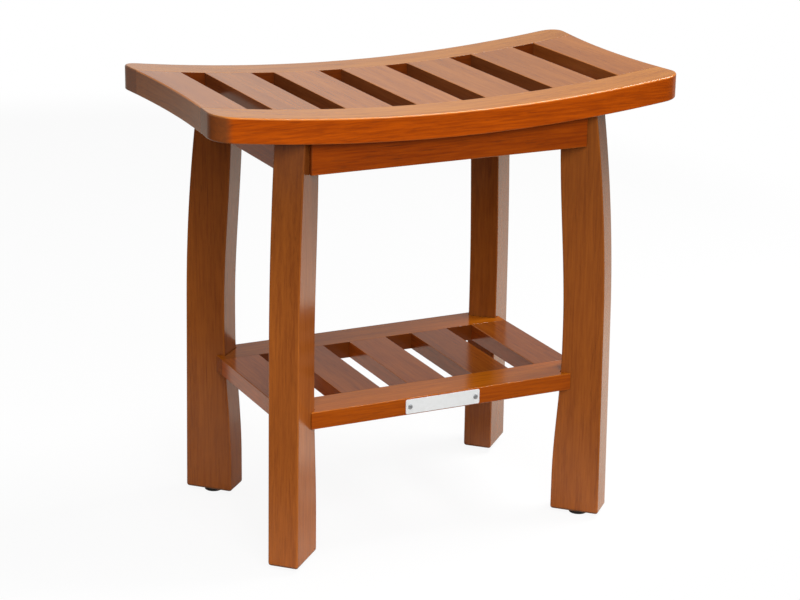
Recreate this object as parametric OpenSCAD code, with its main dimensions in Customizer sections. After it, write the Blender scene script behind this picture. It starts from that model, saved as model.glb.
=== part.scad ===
// Wooden shower bench: a dished slatted seat on four diagonal legs, with a slatted shelf.
// X runs along the seat, -Y is the front, Z is up and the floor is at Z = 0.

/* [Seat] */
// Length of the seat from corner to corner
seat_length = 516; // [490:1:540]
// Depth of the seat from front to back
seat_depth = 267; // [255:1:290]
// Height of the seat's top above the floor, at its middle
seat_height = 459; // [420:1:500]
// Thickness of the seat
seat_t = 25; // [21:0.5:30]
// Rise of the seat's corners above its middle
dish_rise = 17.6; // [8:0.1:24]
// How far each end of the seat is hollowed inward at its middle
end_hollow = 9; // [3:0.5:12]
// Radius of the seat's corners in plan
seat_corner_r = 22; // [12:1:28]
// Width of the two long seat rails
seat_rail_w = 43.2; // [40:0.2:46]
// Width of the seat's end rails, measured to the corners
seat_end_w = 53; // [49:0.5:57]
// Width of each seat slat
seat_slat_w = 50.8; // [46:0.2:54]

/* [Legs] */
// Distance from the seat's corner to the leg's centre, along the seat
leg_inset_x = 91; // [80:1:100]
// Distance from the seat's edge to the leg's centre, across the seat
leg_inset_y = 25; // [22:1:30]
// Thickness of the legs
leg_t = 32; // [26:0.5:33]
// Leg centre line to the outer edge, at the foot
leg_outer_foot = 25.5; // [23:0.5:28]
// Inward lean of the outer edge below the bow
leg_outer_lean = 2.7; // [0:0.1:5]
// Height at which the outer edge starts to bow inward
leg_bow_z = 223; // [180:1:260]
// Radius of the bow of the outer edge
leg_bow_r = 1770; // [1500:10:2500]
// Leg centre line to the inner edge, at the foot
leg_inner_foot = 27; // [24:0.5:28]
// Leg centre line to the inner edge, at the waist
leg_inner_waist = 20.6; // [18:0.2:22]
// Leg centre line to the inner edge, at the head
leg_inner_head = 30.6; // [28:0.2:32]
// Height up to which the foot's inner edge is upright
leg_flare_z = 43; // [20:1:60]
// Height at which the waist starts, above the foot's flare
waist_low_z = 183; // [165:1:195]
// Height at which the waist ends, below the head's flare
waist_high_z = 208; // [200:1:240]

/* [Aprons] */
// Height of the aprons below the seat, at the seat's middle
apron_h = 27.5; // [24:0.5:34]
// Thickness of the aprons
apron_t = 20; // [17:0.5:22]
// Front and back aprons: outer face beyond the leg's centre
apron_reach_y = 13.2; // [11:0.2:15]
// Side aprons: outer face beyond the leg's centre
apron_reach_x = 8.4; // [6:0.2:10]
// Square cut at the pointed tips of the aprons
apron_tip = 5; // [3:0.5:7]

/* [Shelf] */
// Height of the shelf's top above the floor
shelf_height = 161; // [145:1:175]
// Thickness of the shelf
shelf_t = 18; // [16:0.5:21]
// Shelf's end edges beyond the leg's centre
shelf_reach_x = 3.4; // [1:0.2:6]
// Shelf's front and back edges beyond the leg's centre
shelf_reach_y = 5; // [3:0.2:7]
// Width of the two long shelf rails
shelf_rail_w = 41.4; // [38:0.2:44]
// Width of the shelf's end rails
shelf_end_w = 42.6; // [40:0.2:46]
// Width of each shelf slat
shelf_slat_w = 43.4; // [38:0.2:48]
// Square cut at the shelf's pointed corner tips
shelf_tip = 1; // [0.5:0.1:4]

/* [Corner blocks and bolts] */
// Thickness of the corner blocks along the bolt
block_t = 22; // [18:1:26]
// Height of the blocks and side clearance to the aprons' edges
block_drop = 2.5; // [2:0.5:4]
// Diameter of the hanger bolts
bolt_d = 8; // [6:1:8]
// Depth of the hanger bolts in the legs
bolt_bite = 26; // [22:1:30]
// Diameter of the washers
washer_d = 18; // [16:1:19]
// Thickness of the washers
washer_t = 1.6; // [1.2:0.2:2]
// Width of the nuts across their flats
nut_w = 13; // [11:1:13]
// Height of the nuts
nut_h = 6.5; // [5:0.5:7]
// Bolt thread that stands out past the nut
bolt_end = 3; // [2:0.5:5]

/* [Dowels] */
// Diameter of the seat's dowels
seat_dowel_d = 8; // [6:1:10]
// Depth of the seat's dowels in each piece
seat_dowel_depth = 20; // [14:1:24]
// Diameter of the shelf's dowels
shelf_dowel_d = 6; // [5:1:7]
// Depth of the shelf's dowels in the long rails
shelf_dowel_in_rail = 11; // [9:1:12]
// Depth of the shelf's dowels in the slats and end rails
shelf_dowel_in_slat = 19; // [14:1:24]
// Diameter of the dowels between the shelf and the legs
leg_dowel_d = 8; // [6:1:8]
// Depth of those dowels in the shelf
leg_dowel_in_shelf = 10; // [8:1:11]
// Depth of those dowels in the legs
leg_dowel_in_leg = 20; // [15:1:25]

/* [Screws] */
// Shank diameter of the wood screws
screw_d = 4.2; // [3.5:0.1:5]
// Head diameter of the wood screws
screw_head_d = 8; // [7:0.5:9]
// Head height of the wood screws
screw_head_h = 3; // [2:0.5:3.5]
// Length of the seat screws under their heads
seat_screw_l = 35; // [32:1:38]
// Depth of the seat screws' heads in the aprons
seat_screw_sink = 8; // [6:1:10]
// Distance of the outer seat screws from the seat's middle
seat_screw_x = 75; // [40:5:85]
// Length of the block screws under their heads
block_screw_l = 23; // [20:1:26]
// Wood of the block under the block screws' heads
block_screw_seat = 9; // [7:0.5:11]

/* [Feet] */
// Diameter of the foot pads
pad_d = 20; // [16:1:24]
// Height of the foot pads
pad_h = 5; // [3:0.5:8]
// Bevel of the pads' lower edges
pad_bevel = 0.8; // [0.4:0.1:1]
// Diameter of the threaded studs
stud_d = 6; // [5:1:8]
// Length of the studs above the pads
stud_l = 24; // [22:1:32]
// Depth of the studs in the pads
stud_in_pad = 1.8; // [1.2:0.1:2]
// Outer diameter of the brass inserts
insert_d = 10; // [9.5:0.5:12]
// Length of the brass inserts
insert_l = 13; // [10:1:15]

/* [Nameplate] */
// Width of the plate
plate_w = 84; // [70:1:100]
// Height of the plate
plate_h = 15.4; // [12:0.2:16]
// Thickness of the plate
plate_t = 1; // [0.6:0.1:1.6]
// Corner radius of the plate
plate_r = 1.5; // [0.5:0.5:3]
// Plate's middle from the shelf's middle
plate_x = -2; // [-20:1:20]
// Distance from the plate's ends to its screws
plate_screw_in = 4.7; // [4:0.1:8]
// Shank diameter of the plate's screws
plate_screw_d = 2.4; // [2:0.1:2.6]
// Head diameter of the plate's screws
plate_head_d = 5; // [4:0.5:6]
// Head height of the plate's screws
plate_head_h = 1.1; // [0.8:0.1:1.5]
// Length of the plate's screws in the wood
plate_screw_l = 9; // [6:1:12]

/* [Clearances] */
// Gap between wooden faces that meet
wood_gap = 0.1; // [0.05:0.05:0.3]
// Radial clearance of bolts, screws and dowels in their holes
hole_gap = 0.1; // [0.05:0.05:0.3]
// Radial clearance of the studs in their inserts
stud_gap = 0.05; // [0.02:0.01:0.1]
// Depth left free past the end of a dowel, screw or bolt
end_gap = 0.6; // [0.3:0.1:1]

/* [Hidden] */

teak = [0.62, 0.33, 0.13];
teak_dark = [0.48, 0.24, 0.10];
teak_pale = [0.72, 0.48, 0.30];
dowel_wood = [0.80, 0.66, 0.45];
steel = [0.72, 0.73, 0.75];
brass = [0.75, 0.60, 0.30];
black = [0.05, 0.05, 0.05];

seat_slat_count = 5;
shelf_slat_count = 3;
corners = [[-1, -1], [1, -1], [-1, 1], [1, 1]];
diag = sqrt(2);
round_fn = 48;
dish_fn = 720;
leg_steps = 30;

// Seat: half sizes, the dish's radius and the arcs of its hollowed ends
half_l = seat_length / 2;
half_d = seat_depth / 2;
dish_r = (half_l * half_l + dish_rise * dish_rise) / (2 * dish_rise);
end_r = (half_d * half_d + end_hollow * end_hollow) / (2 * end_hollow);
end_cx = half_l - end_hollow + end_r;
corner_cy = half_d - seat_corner_r;
corner_cx = end_cx - sqrt(pow(end_r + seat_corner_r, 2) - corner_cy * corner_cy);
corner_end_angle = atan2(-corner_cy, end_cx - corner_cx);
seat_inner_x = half_l - seat_end_w;
seat_inner_y = half_d - seat_rail_w;
seat_slot_w = (2 * seat_inner_x - seat_slat_count * seat_slat_w) / (seat_slat_count + 1);
seat_pitch = seat_slat_w + seat_slot_w;

// Legs and the planes of their side faces, where the aprons and the shelf meet them
leg_x = half_l - leg_inset_x;
leg_y = half_d - leg_inset_y;
leg_bottom = pad_h;
leg_head_z = seat_height - seat_t - 6;
leg_side = (leg_t / 2 + wood_gap) * diag;
side_x = leg_x - leg_y - leg_side;
side_y = leg_y - leg_x - leg_side;

// Aprons
apron_y = leg_y + apron_reach_y;
apron_x = leg_x + apron_reach_x;
apron_z = seat_height - seat_t - apron_h;

// Shelf
shelf_x = leg_x + shelf_reach_x;
shelf_y = leg_y + shelf_reach_y;
shelf_z = shelf_height - shelf_t;
shelf_mid_z = shelf_height - shelf_t / 2;
shelf_inner_x = shelf_x - shelf_end_w;
shelf_inner_y = shelf_y - shelf_rail_w;
shelf_slot_w = (2 * shelf_inner_x - shelf_slat_count * shelf_slat_w) / (shelf_slat_count + 1);
shelf_pitch = shelf_slat_w + shelf_slot_w;
notch_u = leg_inner(shelf_z) + wood_gap;

// Corner blocks: the diagonal lines of their faces, and the bolts' line
block_z = apron_z + block_drop / 2;
block_h = apron_h - block_drop;
block_u = leg_inner_head + wood_gap;
block_outer_sum = leg_x + leg_y - block_u * diag;
block_inner_sum = block_outer_sum - block_t * diag;
block_face_y = apron_y - apron_t - wood_gap;
block_face_x = apron_x - apron_t - wood_gap;
bolt_z = block_z + block_h / 2;
washer_u = block_u + block_t;
nut_u = washer_u + washer_t;

// Block screws: their places along the aprons and the bearing of their heads
block_screw_x = (block_outer_sum + block_inner_sum) / 2 - block_face_y;
block_screw_y = (block_outer_sum + block_inner_sum) / 2 - block_face_x;

// Plate
plate_y = -shelf_y - wood_gap;

// Blend from 0 to 1 with level ends
function blend(t) = let (c = max(0, min(1, t))) c * c * (3 - 2 * c);

// Distances from the leg's centre line to its inner and outer edges at height z
function leg_inner(z) = leg_inner_waist
    + (leg_inner_head - leg_inner_waist) * blend((z - waist_high_z) / (leg_head_z - waist_high_z))
    + (leg_inner_foot - leg_inner_waist) * blend((waist_low_z - z) / (waist_low_z - leg_flare_z));
function leg_outer(z) = leg_outer_foot - leg_outer_lean * z / leg_bow_z
    - pow(max(0, z - leg_bow_z), 2) / (2 * leg_bow_r);
function leg_height_at(i) = leg_bottom + (seat_height + dish_rise - leg_bottom) * i / leg_steps;
function leg_outline() = concat(
    [for (i = [0:leg_steps]) [leg_outer(leg_height_at(i)), leg_height_at(i)]],
    [for (i = [leg_steps:-1:0]) [-leg_inner(leg_height_at(i)), leg_height_at(i)]]
);

// Height of a dished surface that lies the given depth below the seat's top
function dish_z(x, depth) = seat_height + dish_r - sqrt(pow(dish_r + depth, 2) - x * x);

// Outline of the seat: two round corners and a hollow arc between them at each end
function arc(cx, cy, r, a0, a1, n) =
    [for (i = [0:n]) let (a = a0 + (a1 - a0) * i / n) [cx + r * cos(a), cy + r * sin(a)]];
function seat_end() =
    let (swing = 180 + corner_end_angle)
    concat(
        arc(corner_cx, corner_cy, seat_corner_r, 90, corner_end_angle, 10),
        arc(end_cx, 0, end_r, swing, 360 - swing, 16),
        arc(corner_cx, -corner_cy, seat_corner_r, -corner_end_angle, -90, 10)
    );
function seat_outline() = concat(seat_end(), [for (p = seat_end()) [-p[0], -p[1]]]);

// Outline of an apron: [along, across], square tips and ends cut along the legs' sides
function apron_outline(outer, side) =
    let (tip = outer + side - apron_tip, inner = outer - apron_t)
    [
        [tip, outer], [tip, tip - side], [inner + side, inner],
        [-inner - side, inner], [-tip, tip - side], [-tip, outer]
    ];

// One end of a long shelf rail, notched round the inner part of a leg
function notch_corner(v) = [
    leg_x + (-notch_u - v) / diag,
    leg_y + (-notch_u + v) / diag
];
function shelf_rail_end() =
    let (
        side_tip = shelf_x + side_y - shelf_tip,
        front_tip = shelf_y + side_x - shelf_tip,
        v = leg_t / 2 + wood_gap
    )
    [
        [shelf_x, shelf_inner_y], [shelf_x, side_tip], [side_tip - side_y, side_tip],
        notch_corner(-v), notch_corner(v),
        [front_tip, front_tip - side_x], [front_tip, shelf_y]
    ];
function mirrored(points) = [for (i = [len(points) - 1:-1:0]) [-points[i][0], points[i][1]]];

// Places of the dowels along X: two in each slat and two in each end rail
function slat_x(i, count, pitch) = (i - (count + 1) / 2) * pitch;
seat_dowel_x = concat(
    [for (i = [1:seat_slat_count]) for (s = [-1, 1])
        slat_x(i, seat_slat_count, seat_pitch) + s * seat_slat_w / 4],
    [for (s = [-1, 1]) for (f = [0.25, 0.65]) s * (seat_inner_x + f * seat_end_w)]
);
shelf_dowel_x = concat(
    [for (i = [1:shelf_slat_count]) for (s = [-1, 1])
        slat_x(i, shelf_slat_count, shelf_pitch) + s * shelf_slat_w / 4],
    [for (s = [-1, 1]) for (f = [0.2, 0.59]) s * (shelf_inner_x + f * shelf_end_w)]
);

// Mirrors what is drawn for the back right corner to the corner [sx, sy]
module at_corner(c) {
    mirror([c[0] < 0 ? 1 : 0, 0, 0])
        mirror([0, c[1] < 0 ? 1 : 0, 0])
            children();
}

// Puts a leg's own frame at the back right corner: X outward along the diagonal
module leg_frame() {
    translate([leg_x, leg_y, 0])
        rotate([0, 0, 45])
            children();
}

// A rod along -X of the leg's frame, from u0 inward to u1
module inward_rod(d, u0, u1, z) {
    translate([-u1, 0, z])
        rotate([0, 90, 0])
            cylinder(d = d, h = u1 - u0, $fn = round_fn);
}

// Everything above the seat's underside
module above_underside(gap) {
    translate([0, seat_depth, seat_height + dish_r])
        rotate([90, 0, 0])
            cylinder(r = dish_r + seat_t + gap, h = 2 * seat_depth, $fn = dish_fn);
}

// A piece of the dished seat with the plan shape that is given as child
module seat_piece() {
    difference() {
        intersection() {
            translate([0, 0, seat_height - seat_t - 1])
                linear_extrude(seat_t + dish_rise + 2)
                    children();
            above_underside(0);
        }
        translate([0, seat_depth, seat_height + dish_r])
            rotate([90, 0, 0])
                cylinder(r = dish_r, h = 2 * seat_depth, $fn = dish_fn);
    }
}

// The seat's dowels, or with clearance their holes
module seat_dowel_rods(radial, extra) {
    for (x = seat_dowel_x)
        for (s = [-1, 1])
            translate([x, s * seat_inner_y, dish_z(x, seat_t / 2)])
                rotate([90, 0, 0])
                    cylinder(d = seat_dowel_d + 2 * radial, h = 2 * (seat_dowel_depth + extra),
                        center = true, $fn = round_fn);
}

// The shelf's dowels, or with clearance their holes
module shelf_dowel_rods(radial, extra) {
    for (x = shelf_dowel_x)
        for (s = [-1, 1])
            translate([x, s * (shelf_inner_y + shelf_dowel_in_rail + extra), shelf_mid_z])
                rotate([s * 90, 0, 0])
                    cylinder(d = shelf_dowel_d + 2 * radial,
                        h = shelf_dowel_in_rail + shelf_dowel_in_slat + 2 * extra, $fn = round_fn);
}

// The dowel between a shelf corner and its leg, or its hole
module leg_dowel_rod(radial, extra) {
    inward_rod(leg_dowel_d + 2 * radial, notch_u - leg_dowel_in_leg - extra,
        notch_u + leg_dowel_in_shelf + extra, shelf_mid_z);
}

// A wood screw along +Z, with its head's underside at Z = 0
module wood_screw(length) {
    difference() {
        translate([0, 0, -screw_head_h])
            cylinder(d = screw_head_d, h = screw_head_h, $fn = round_fn);
        translate([0, 0, -screw_head_h - 0.1])
            cylinder(d = screw_head_d / 2, h = screw_head_h / 2 + 0.1, $fn = 6);
    }
    cylinder(d = screw_d, h = length - screw_d, $fn = round_fn);
    translate([0, 0, length - screw_d])
        cylinder(d1 = screw_d, d2 = screw_d / 6, h = screw_d, $fn = round_fn);
}

// Places a child at each seat screw, with Z = 0 where the head bears
module at_seat_screws(side) {
    for (x = [-seat_screw_x, 0, seat_screw_x])
        translate([x, side * (apron_y - apron_t / 2), apron_z + seat_screw_sink])
            children();
}

// Places a child at the block screw that enters the long apron, at the back right corner
module at_long_block_screw() {
    translate([block_screw_x, block_face_y - block_screw_seat, bolt_z])
        rotate([-90, 0, 0])
            children();
}

// Places a child at the block screw that enters the side apron, at the back right corner
module at_side_block_screw() {
    translate([block_face_x - block_screw_seat, block_screw_y, bolt_z])
        rotate([0, 90, 0])
            children();
}

// A screw's hole: shank and head clearances along +Z, from the head's bearing at Z = 0
module screw_hole(length, head_depth) {
    translate([0, 0, -head_depth])
        cylinder(d = screw_head_d + 1, h = head_depth, $fn = round_fn);
    translate([0, 0, -0.1])
        cylinder(d = screw_d + 2 * hole_gap, h = length + end_gap + 0.1, $fn = round_fn);
}

module seat_long_rail(side) {
    color(teak)
        difference() {
            seat_piece()
                intersection() {
                    polygon(seat_outline());
                    translate([-half_l, side > 0 ? seat_inner_y : -half_d])
                        square([seat_length, seat_rail_w]);
                }
            seat_dowel_rods(hole_gap, end_gap);
            at_seat_screws(side) screw_hole(seat_screw_l, 1);
        }
}

module seat_end_rail(side) {
    color(teak_pale)
        difference() {
            seat_piece()
                intersection() {
                    polygon(seat_outline());
                    translate([side > 0 ? seat_inner_x : -half_l, -seat_inner_y + wood_gap])
                        square([seat_end_w, 2 * (seat_inner_y - wood_gap)]);
                }
            seat_dowel_rods(hole_gap, end_gap);
        }
}

module seat_slat(i) {
    x = slat_x(i, seat_slat_count, seat_pitch);
    color(teak_pale)
        difference() {
            seat_piece()
                translate([x - seat_slat_w / 2, -seat_inner_y + wood_gap])
                    square([seat_slat_w, 2 * (seat_inner_y - wood_gap)]);
            seat_dowel_rods(hole_gap, end_gap);
        }
}

// An apron blank from its lower edge up to the seat's curved underside
module apron_blank(outline) {
    difference() {
        translate([0, 0, apron_z])
            linear_extrude(apron_h + dish_rise)
                polygon(outline);
        above_underside(wood_gap);
    }
}

module long_apron(side) {
    color(teak)
        difference() {
            apron_blank([for (p = apron_outline(apron_y, side_x)) [p[0], side * p[1]]]);
            at_seat_screws(side) screw_hole(seat_screw_l, seat_screw_sink + 1);
            for (s = [-1, 1])
                at_corner([s, side]) at_long_block_screw() screw_hole(block_screw_l, 1);
        }
}

module side_apron(side) {
    color(teak)
        difference() {
            apron_blank([for (p = apron_outline(apron_x, side_y)) [side * p[1], p[0]]]);
            for (s = [-1, 1])
                at_corner([side, s]) at_side_block_screw() screw_hole(block_screw_l, 1);
        }
}

module leg(c) {
    color(teak_dark)
        at_corner(c)
            difference() {
                leg_frame()
                    rotate([90, 0, 0])
                        linear_extrude(leg_t, center = true)
                            polygon(leg_outline());
                above_underside(wood_gap);
                leg_frame() {
                    inward_rod(bolt_d + 2 * hole_gap, leg_inner_head - bolt_bite - end_gap,
                        leg_inner_head + 1, bolt_z);
                    leg_dowel_rod(hole_gap, end_gap);
                    translate([0, 0, leg_bottom - 1])
                        cylinder(d = insert_d + 2 * hole_gap, h = insert_l + 1, $fn = round_fn);
                    translate([0, 0, leg_bottom - 1])
                        cylinder(d = stud_d + 4 * hole_gap, h = stud_l + 1 + end_gap, $fn = round_fn);
                }
            }
}

module shelf_long_rail(side) {
    outline = concat(shelf_rail_end(), mirrored(shelf_rail_end()));
    color(teak)
        difference() {
            translate([0, 0, shelf_z])
                linear_extrude(shelf_t)
                    polygon([for (p = outline) [p[0], side * p[1]]]);
            shelf_dowel_rods(hole_gap, end_gap);
            for (s = [-1, 1])
                at_corner([s, side]) leg_frame() leg_dowel_rod(hole_gap, end_gap);
            if (side < 0) at_plate_screws()
                translate([0, 0, -1])
                    cylinder(d = plate_screw_d + 2 * hole_gap, h = plate_screw_l + end_gap + 1, $fn = round_fn);
        }
}

// A shelf piece that runs across between the long rails
module shelf_cross_piece(x, width) {
    difference() {
        translate([x - width / 2, -shelf_inner_y + wood_gap, shelf_z])
            cube([width, 2 * (shelf_inner_y - wood_gap), shelf_t]);
        shelf_dowel_rods(hole_gap, end_gap);
    }
}

module shelf_end_rail(side) {
    color(teak_pale) shelf_cross_piece(side * (shelf_x - shelf_end_w / 2), shelf_end_w);
}

module shelf_slat(i) {
    color(teak_pale) shelf_cross_piece(slat_x(i, shelf_slat_count, shelf_pitch), shelf_slat_w);
}

module corner_block(c) {
    color(teak_dark)
        at_corner(c)
            difference() {
                translate([0, 0, block_z])
                    linear_extrude(block_h)
                        polygon([
                            [block_outer_sum - block_face_y, block_face_y],
                            [block_inner_sum - block_face_y, block_face_y],
                            [block_face_x, block_inner_sum - block_face_x],
                            [block_face_x, block_outer_sum - block_face_x]
                        ]);
                leg_frame()
                    inward_rod(bolt_d + 4 * hole_gap, block_u - 1, washer_u + 1, bolt_z);
                at_long_block_screw() screw_hole(block_screw_l, block_t);
                at_side_block_screw() screw_hole(block_screw_l, block_t);
            }
}

module hanger_bolt() {
    inward_rod(bolt_d, leg_inner_head - bolt_bite, nut_u + nut_h + bolt_end, bolt_z);
}

// A ring round the bolt with an outer shape of the given number of sides
module bolt_ring(d, height, u, sides) {
    translate([-u - height, 0, bolt_z])
        rotate([0, 90, 0])
            difference() {
                cylinder(d = d, h = height, $fn = sides);
                translate([0, 0, -1])
                    cylinder(d = bolt_d + 2 * hole_gap, h = height + 2, $fn = round_fn);
            }
}

module foot_pad(c) {
    color(black)
        at_corner(c)
            translate([leg_x, leg_y, 0])
                difference() {
                    union() {
                        cylinder(d1 = pad_d - 2 * pad_bevel, d2 = pad_d, h = pad_bevel, $fn = round_fn);
                        translate([0, 0, pad_bevel])
                            cylinder(d = pad_d, h = pad_h - pad_bevel - wood_gap, $fn = round_fn);
                    }
                    translate([0, 0, pad_h - stud_in_pad])
                        cylinder(d = stud_d + 2 * stud_gap, h = stud_in_pad, $fn = round_fn);
                }
}

module foot_stud(c) {
    color(steel)
        at_corner(c)
            translate([leg_x, leg_y, pad_h - stud_in_pad + stud_gap])
                cylinder(d = stud_d, h = stud_in_pad - stud_gap + stud_l, $fn = round_fn);
}

module foot_insert() {
    translate([leg_x, leg_y, leg_bottom + wood_gap])
        difference() {
            cylinder(d = insert_d, h = insert_l - wood_gap, $fn = round_fn);
            translate([0, 0, -1])
                cylinder(d = stud_d + 2 * stud_gap, h = insert_l + 2, $fn = round_fn);
        }
}

// Places a child at each plate screw, with Z pointing into the wood from the rail's face
module at_plate_screws() {
    for (s = [-1, 1])
        translate([plate_x + s * (plate_w / 2 - plate_screw_in), -shelf_y, shelf_mid_z])
            rotate([-90, 0, 0])
                children();
}

module nameplate() {
    color(steel)
        difference() {
            translate([plate_x, plate_y, shelf_mid_z])
                rotate([90, 0, 0])
                    linear_extrude(plate_t)
                        union() {
                            square([plate_w - 2 * plate_r, plate_h], center = true);
                            square([plate_w, plate_h - 2 * plate_r], center = true);
                            for (sx = [-1, 1])
                                for (sy = [-1, 1])
                                    translate([sx * (plate_w / 2 - plate_r), sy * (plate_h / 2 - plate_r)])
                                        circle(plate_r, $fn = round_fn);
                        }
            at_plate_screws()
                translate([0, 0, -plate_t - 1])
                    cylinder(d = plate_screw_d + 2 * hole_gap, h = plate_t + 2, $fn = round_fn);
        }
}

module plate_screw() {
    head_z = -plate_t - 2 * wood_gap;
    difference() {
        translate([0, 0, head_z - plate_head_h])
            cylinder(d1 = plate_head_d - plate_head_h, d2 = plate_head_d, h = plate_head_h, $fn = round_fn);
        for (a = [0, 90])
            translate([0, 0, head_z - plate_head_h])
                rotate([0, 0, a])
                    cube([plate_head_d / 2, plate_head_d / 8, plate_head_h], center = true);
    }
    translate([0, 0, head_z])
        cylinder(d = plate_screw_d, h = plate_screw_l - head_z, $fn = round_fn);
}

module nameplate_screws() {
    color(steel) at_plate_screws() plate_screw();
}

// Nodes
module seat_dowels() { color(dowel_wood) seat_dowel_rods(0, 0); }
module shelf_dowels() { color(dowel_wood) shelf_dowel_rods(0, 0); }
module leg_dowels() { color(dowel_wood) for (c = corners) at_corner(c) leg_frame() leg_dowel_rod(0, 0); }
module hanger_bolts() { color(steel) for (c = corners) at_corner(c) leg_frame() hanger_bolt(); }
module bolt_washers() {
    color(steel) for (c = corners) at_corner(c) leg_frame() bolt_ring(washer_d, washer_t, washer_u, round_fn);
}
module bolt_nuts() {
    color(steel) for (c = corners) at_corner(c) leg_frame() bolt_ring(nut_w / cos(30), nut_h, nut_u, 6);
}
module block_screws() {
    color(steel)
        for (c = corners)
            at_corner(c) {
                at_long_block_screw() wood_screw(block_screw_l);
                at_side_block_screw() wood_screw(block_screw_l);
            }
}
module seat_screws() { color(steel) for (s = [-1, 1]) at_seat_screws(s) wood_screw(seat_screw_l); }
module foot_inserts() { color(brass) for (c = corners) at_corner(c) foot_insert(); }

seat_long_rail(-1);  // seat_front_rail
seat_long_rail(1);  // seat_back_rail
seat_end_rail(-1);  // seat_left_end_rail
seat_end_rail(1);  // seat_right_end_rail
seat_slat(1);  // seat_slat_1
seat_slat(2);  // seat_slat_2
seat_slat(3);  // seat_slat_3
seat_slat(4);  // seat_slat_4
seat_slat(5);  // seat_slat_5
long_apron(-1);  // front_apron
long_apron(1);  // back_apron
side_apron(-1);  // left_apron
side_apron(1);  // right_apron
leg(corners[0]);  // front_left_leg
leg(corners[1]);  // front_right_leg
leg(corners[2]);  // back_left_leg
leg(corners[3]);  // back_right_leg
shelf_long_rail(-1);  // shelf_front_rail
shelf_long_rail(1);  // shelf_back_rail
shelf_end_rail(-1);  // shelf_left_end_rail
shelf_end_rail(1);  // shelf_right_end_rail
shelf_slat(1);  // shelf_slat_1
shelf_slat(2);  // shelf_slat_2
shelf_slat(3);  // shelf_slat_3
corner_block(corners[0]);  // front_left_corner_block
corner_block(corners[1]);  // front_right_corner_block
corner_block(corners[2]);  // back_left_corner_block
corner_block(corners[3]);  // back_right_corner_block
seat_dowels();
shelf_dowels();
leg_dowels();
hanger_bolts();
bolt_washers();
bolt_nuts();
block_screws();
seat_screws();
foot_pad(corners[0]);  // front_left_foot_pad
foot_pad(corners[1]);  // front_right_foot_pad
foot_pad(corners[2]);  // back_left_foot_pad
foot_pad(corners[3]);  // back_right_foot_pad
foot_stud(corners[0]);  // front_left_foot_stud
foot_stud(corners[1]);  // front_right_foot_stud
foot_stud(corners[2]);  // back_left_foot_stud
foot_stud(corners[3]);  // back_right_foot_stud
foot_inserts();
nameplate();
nameplate_screws();
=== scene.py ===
"""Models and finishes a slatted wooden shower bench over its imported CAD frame."""

import math
from functools import partialmethod

import bmesh
import bpy
from bpy.props import FloatProperty, FloatVectorProperty, PointerProperty
from mathutils import Matrix, Vector


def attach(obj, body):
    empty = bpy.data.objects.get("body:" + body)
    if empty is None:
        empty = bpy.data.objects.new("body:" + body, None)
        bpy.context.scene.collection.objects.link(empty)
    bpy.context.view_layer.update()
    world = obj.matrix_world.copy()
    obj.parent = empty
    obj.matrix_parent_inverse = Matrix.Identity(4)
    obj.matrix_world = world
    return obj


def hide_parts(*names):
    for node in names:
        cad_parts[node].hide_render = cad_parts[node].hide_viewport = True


bl_info = {
    "name": "Wooden Shower Bench",
    "version": (1, 0, 0),
    "blender": (4, 5, 0),
    "location": "View3D > Sidebar > Bench",
    "description": "Models a dished, slatted shower bench and finishes it in varnished timber",
    "category": "Object",
}

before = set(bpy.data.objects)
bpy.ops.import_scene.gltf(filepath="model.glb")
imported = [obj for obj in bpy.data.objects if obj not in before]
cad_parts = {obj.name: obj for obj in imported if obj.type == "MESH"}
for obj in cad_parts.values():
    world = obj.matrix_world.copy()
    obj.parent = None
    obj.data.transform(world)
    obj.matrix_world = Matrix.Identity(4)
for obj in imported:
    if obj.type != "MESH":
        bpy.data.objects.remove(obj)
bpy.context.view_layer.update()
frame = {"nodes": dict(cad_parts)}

DIAGONAL = math.sqrt(2)
TINY = 1e-5
SIGNS = (-1, 1)
LONG_SIDES = (("front", -1), ("back", 1))
ENDS = (("left", -1), ("right", 1))
CORNERS = {"front_left": (-1, -1), "front_right": (1, -1), "back_left": (-1, 1), "back_right": (1, 1)}
SEAT_SLATS = 5
SHELF_SLATS = 3

# How finely the pieces are cut before they are bent: places from an end rail's inner edge outward,
# rows along an end rail, the distance between cuts along a long apron, and rows up a leg.
END_COLUMNS = (0.0135, 0.027, 0.04)
END_ROWS = 14
APRON_STEP = 0.03
LEG_ROWS = 34

# How much of its normal lies along an axis that a face looks along, the least angle at a ridge,
# and the greatest angle that is shaded smooth.
FACING = 0.7
RIDGE_ANGLE = math.radians(30)
SMOOTH_ANGLE = math.radians(40)

# Where a leg's inner edge stops widening below the seat, how far a leg's head stays off the seat,
# and how much a leg is made too long before it is cut there.
HEAD_DROP = 0.006
HEAD_GAP = 0.00025
HEAD_SPARE = 0.012

# The heights between which painted shade gathers up a leg, darkest at its head under the seat.
HEAD_SHADE_LOW, HEAD_SHADE_HIGH = 0.19, 0.47

# Where the camera stands, what it looks at, its roll in degrees, and what the lamps look at.
CAMERA_PLACE = (-1.0002, -2.0519, 0.9570)
CAMERA_TARGET = (-0.0051, -0.0172, 0.2328)
CAMERA_ROLL = 0.875
LAMP_TARGET = (0, 0, 0.28)

# How light each board is against the colours of its kind, and how dark the painted shade under the seat
# gathers at a leg's head.
RAIL_TONES = (1.0, 0.93)
END_TONES = (0.98, 0.89)
SLAT_TONES = (0.92, 0.99, 1.0, 0.9, 0.88)
# The legs' and the shelf boards' tones are painted light and shade: the front left leg and the shelf's left
# end rail lighter, the back right leg, the shelf's back rail, right end rail and last slat darker.
LEG_LIGHT_SHADE_TONES = (1.38, 1.1, 1.03, 0.75)
LEG_HEAD_SHADES = (0.72, 0.4, 0.2, 0)
SHELF_RAIL_LIGHT_SHADE_TONES = (1.0, 0.77)
SHELF_LIGHT_SHADE_TONES = (1.28, 0.7, 0.98, 1.02, 0.69)

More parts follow.
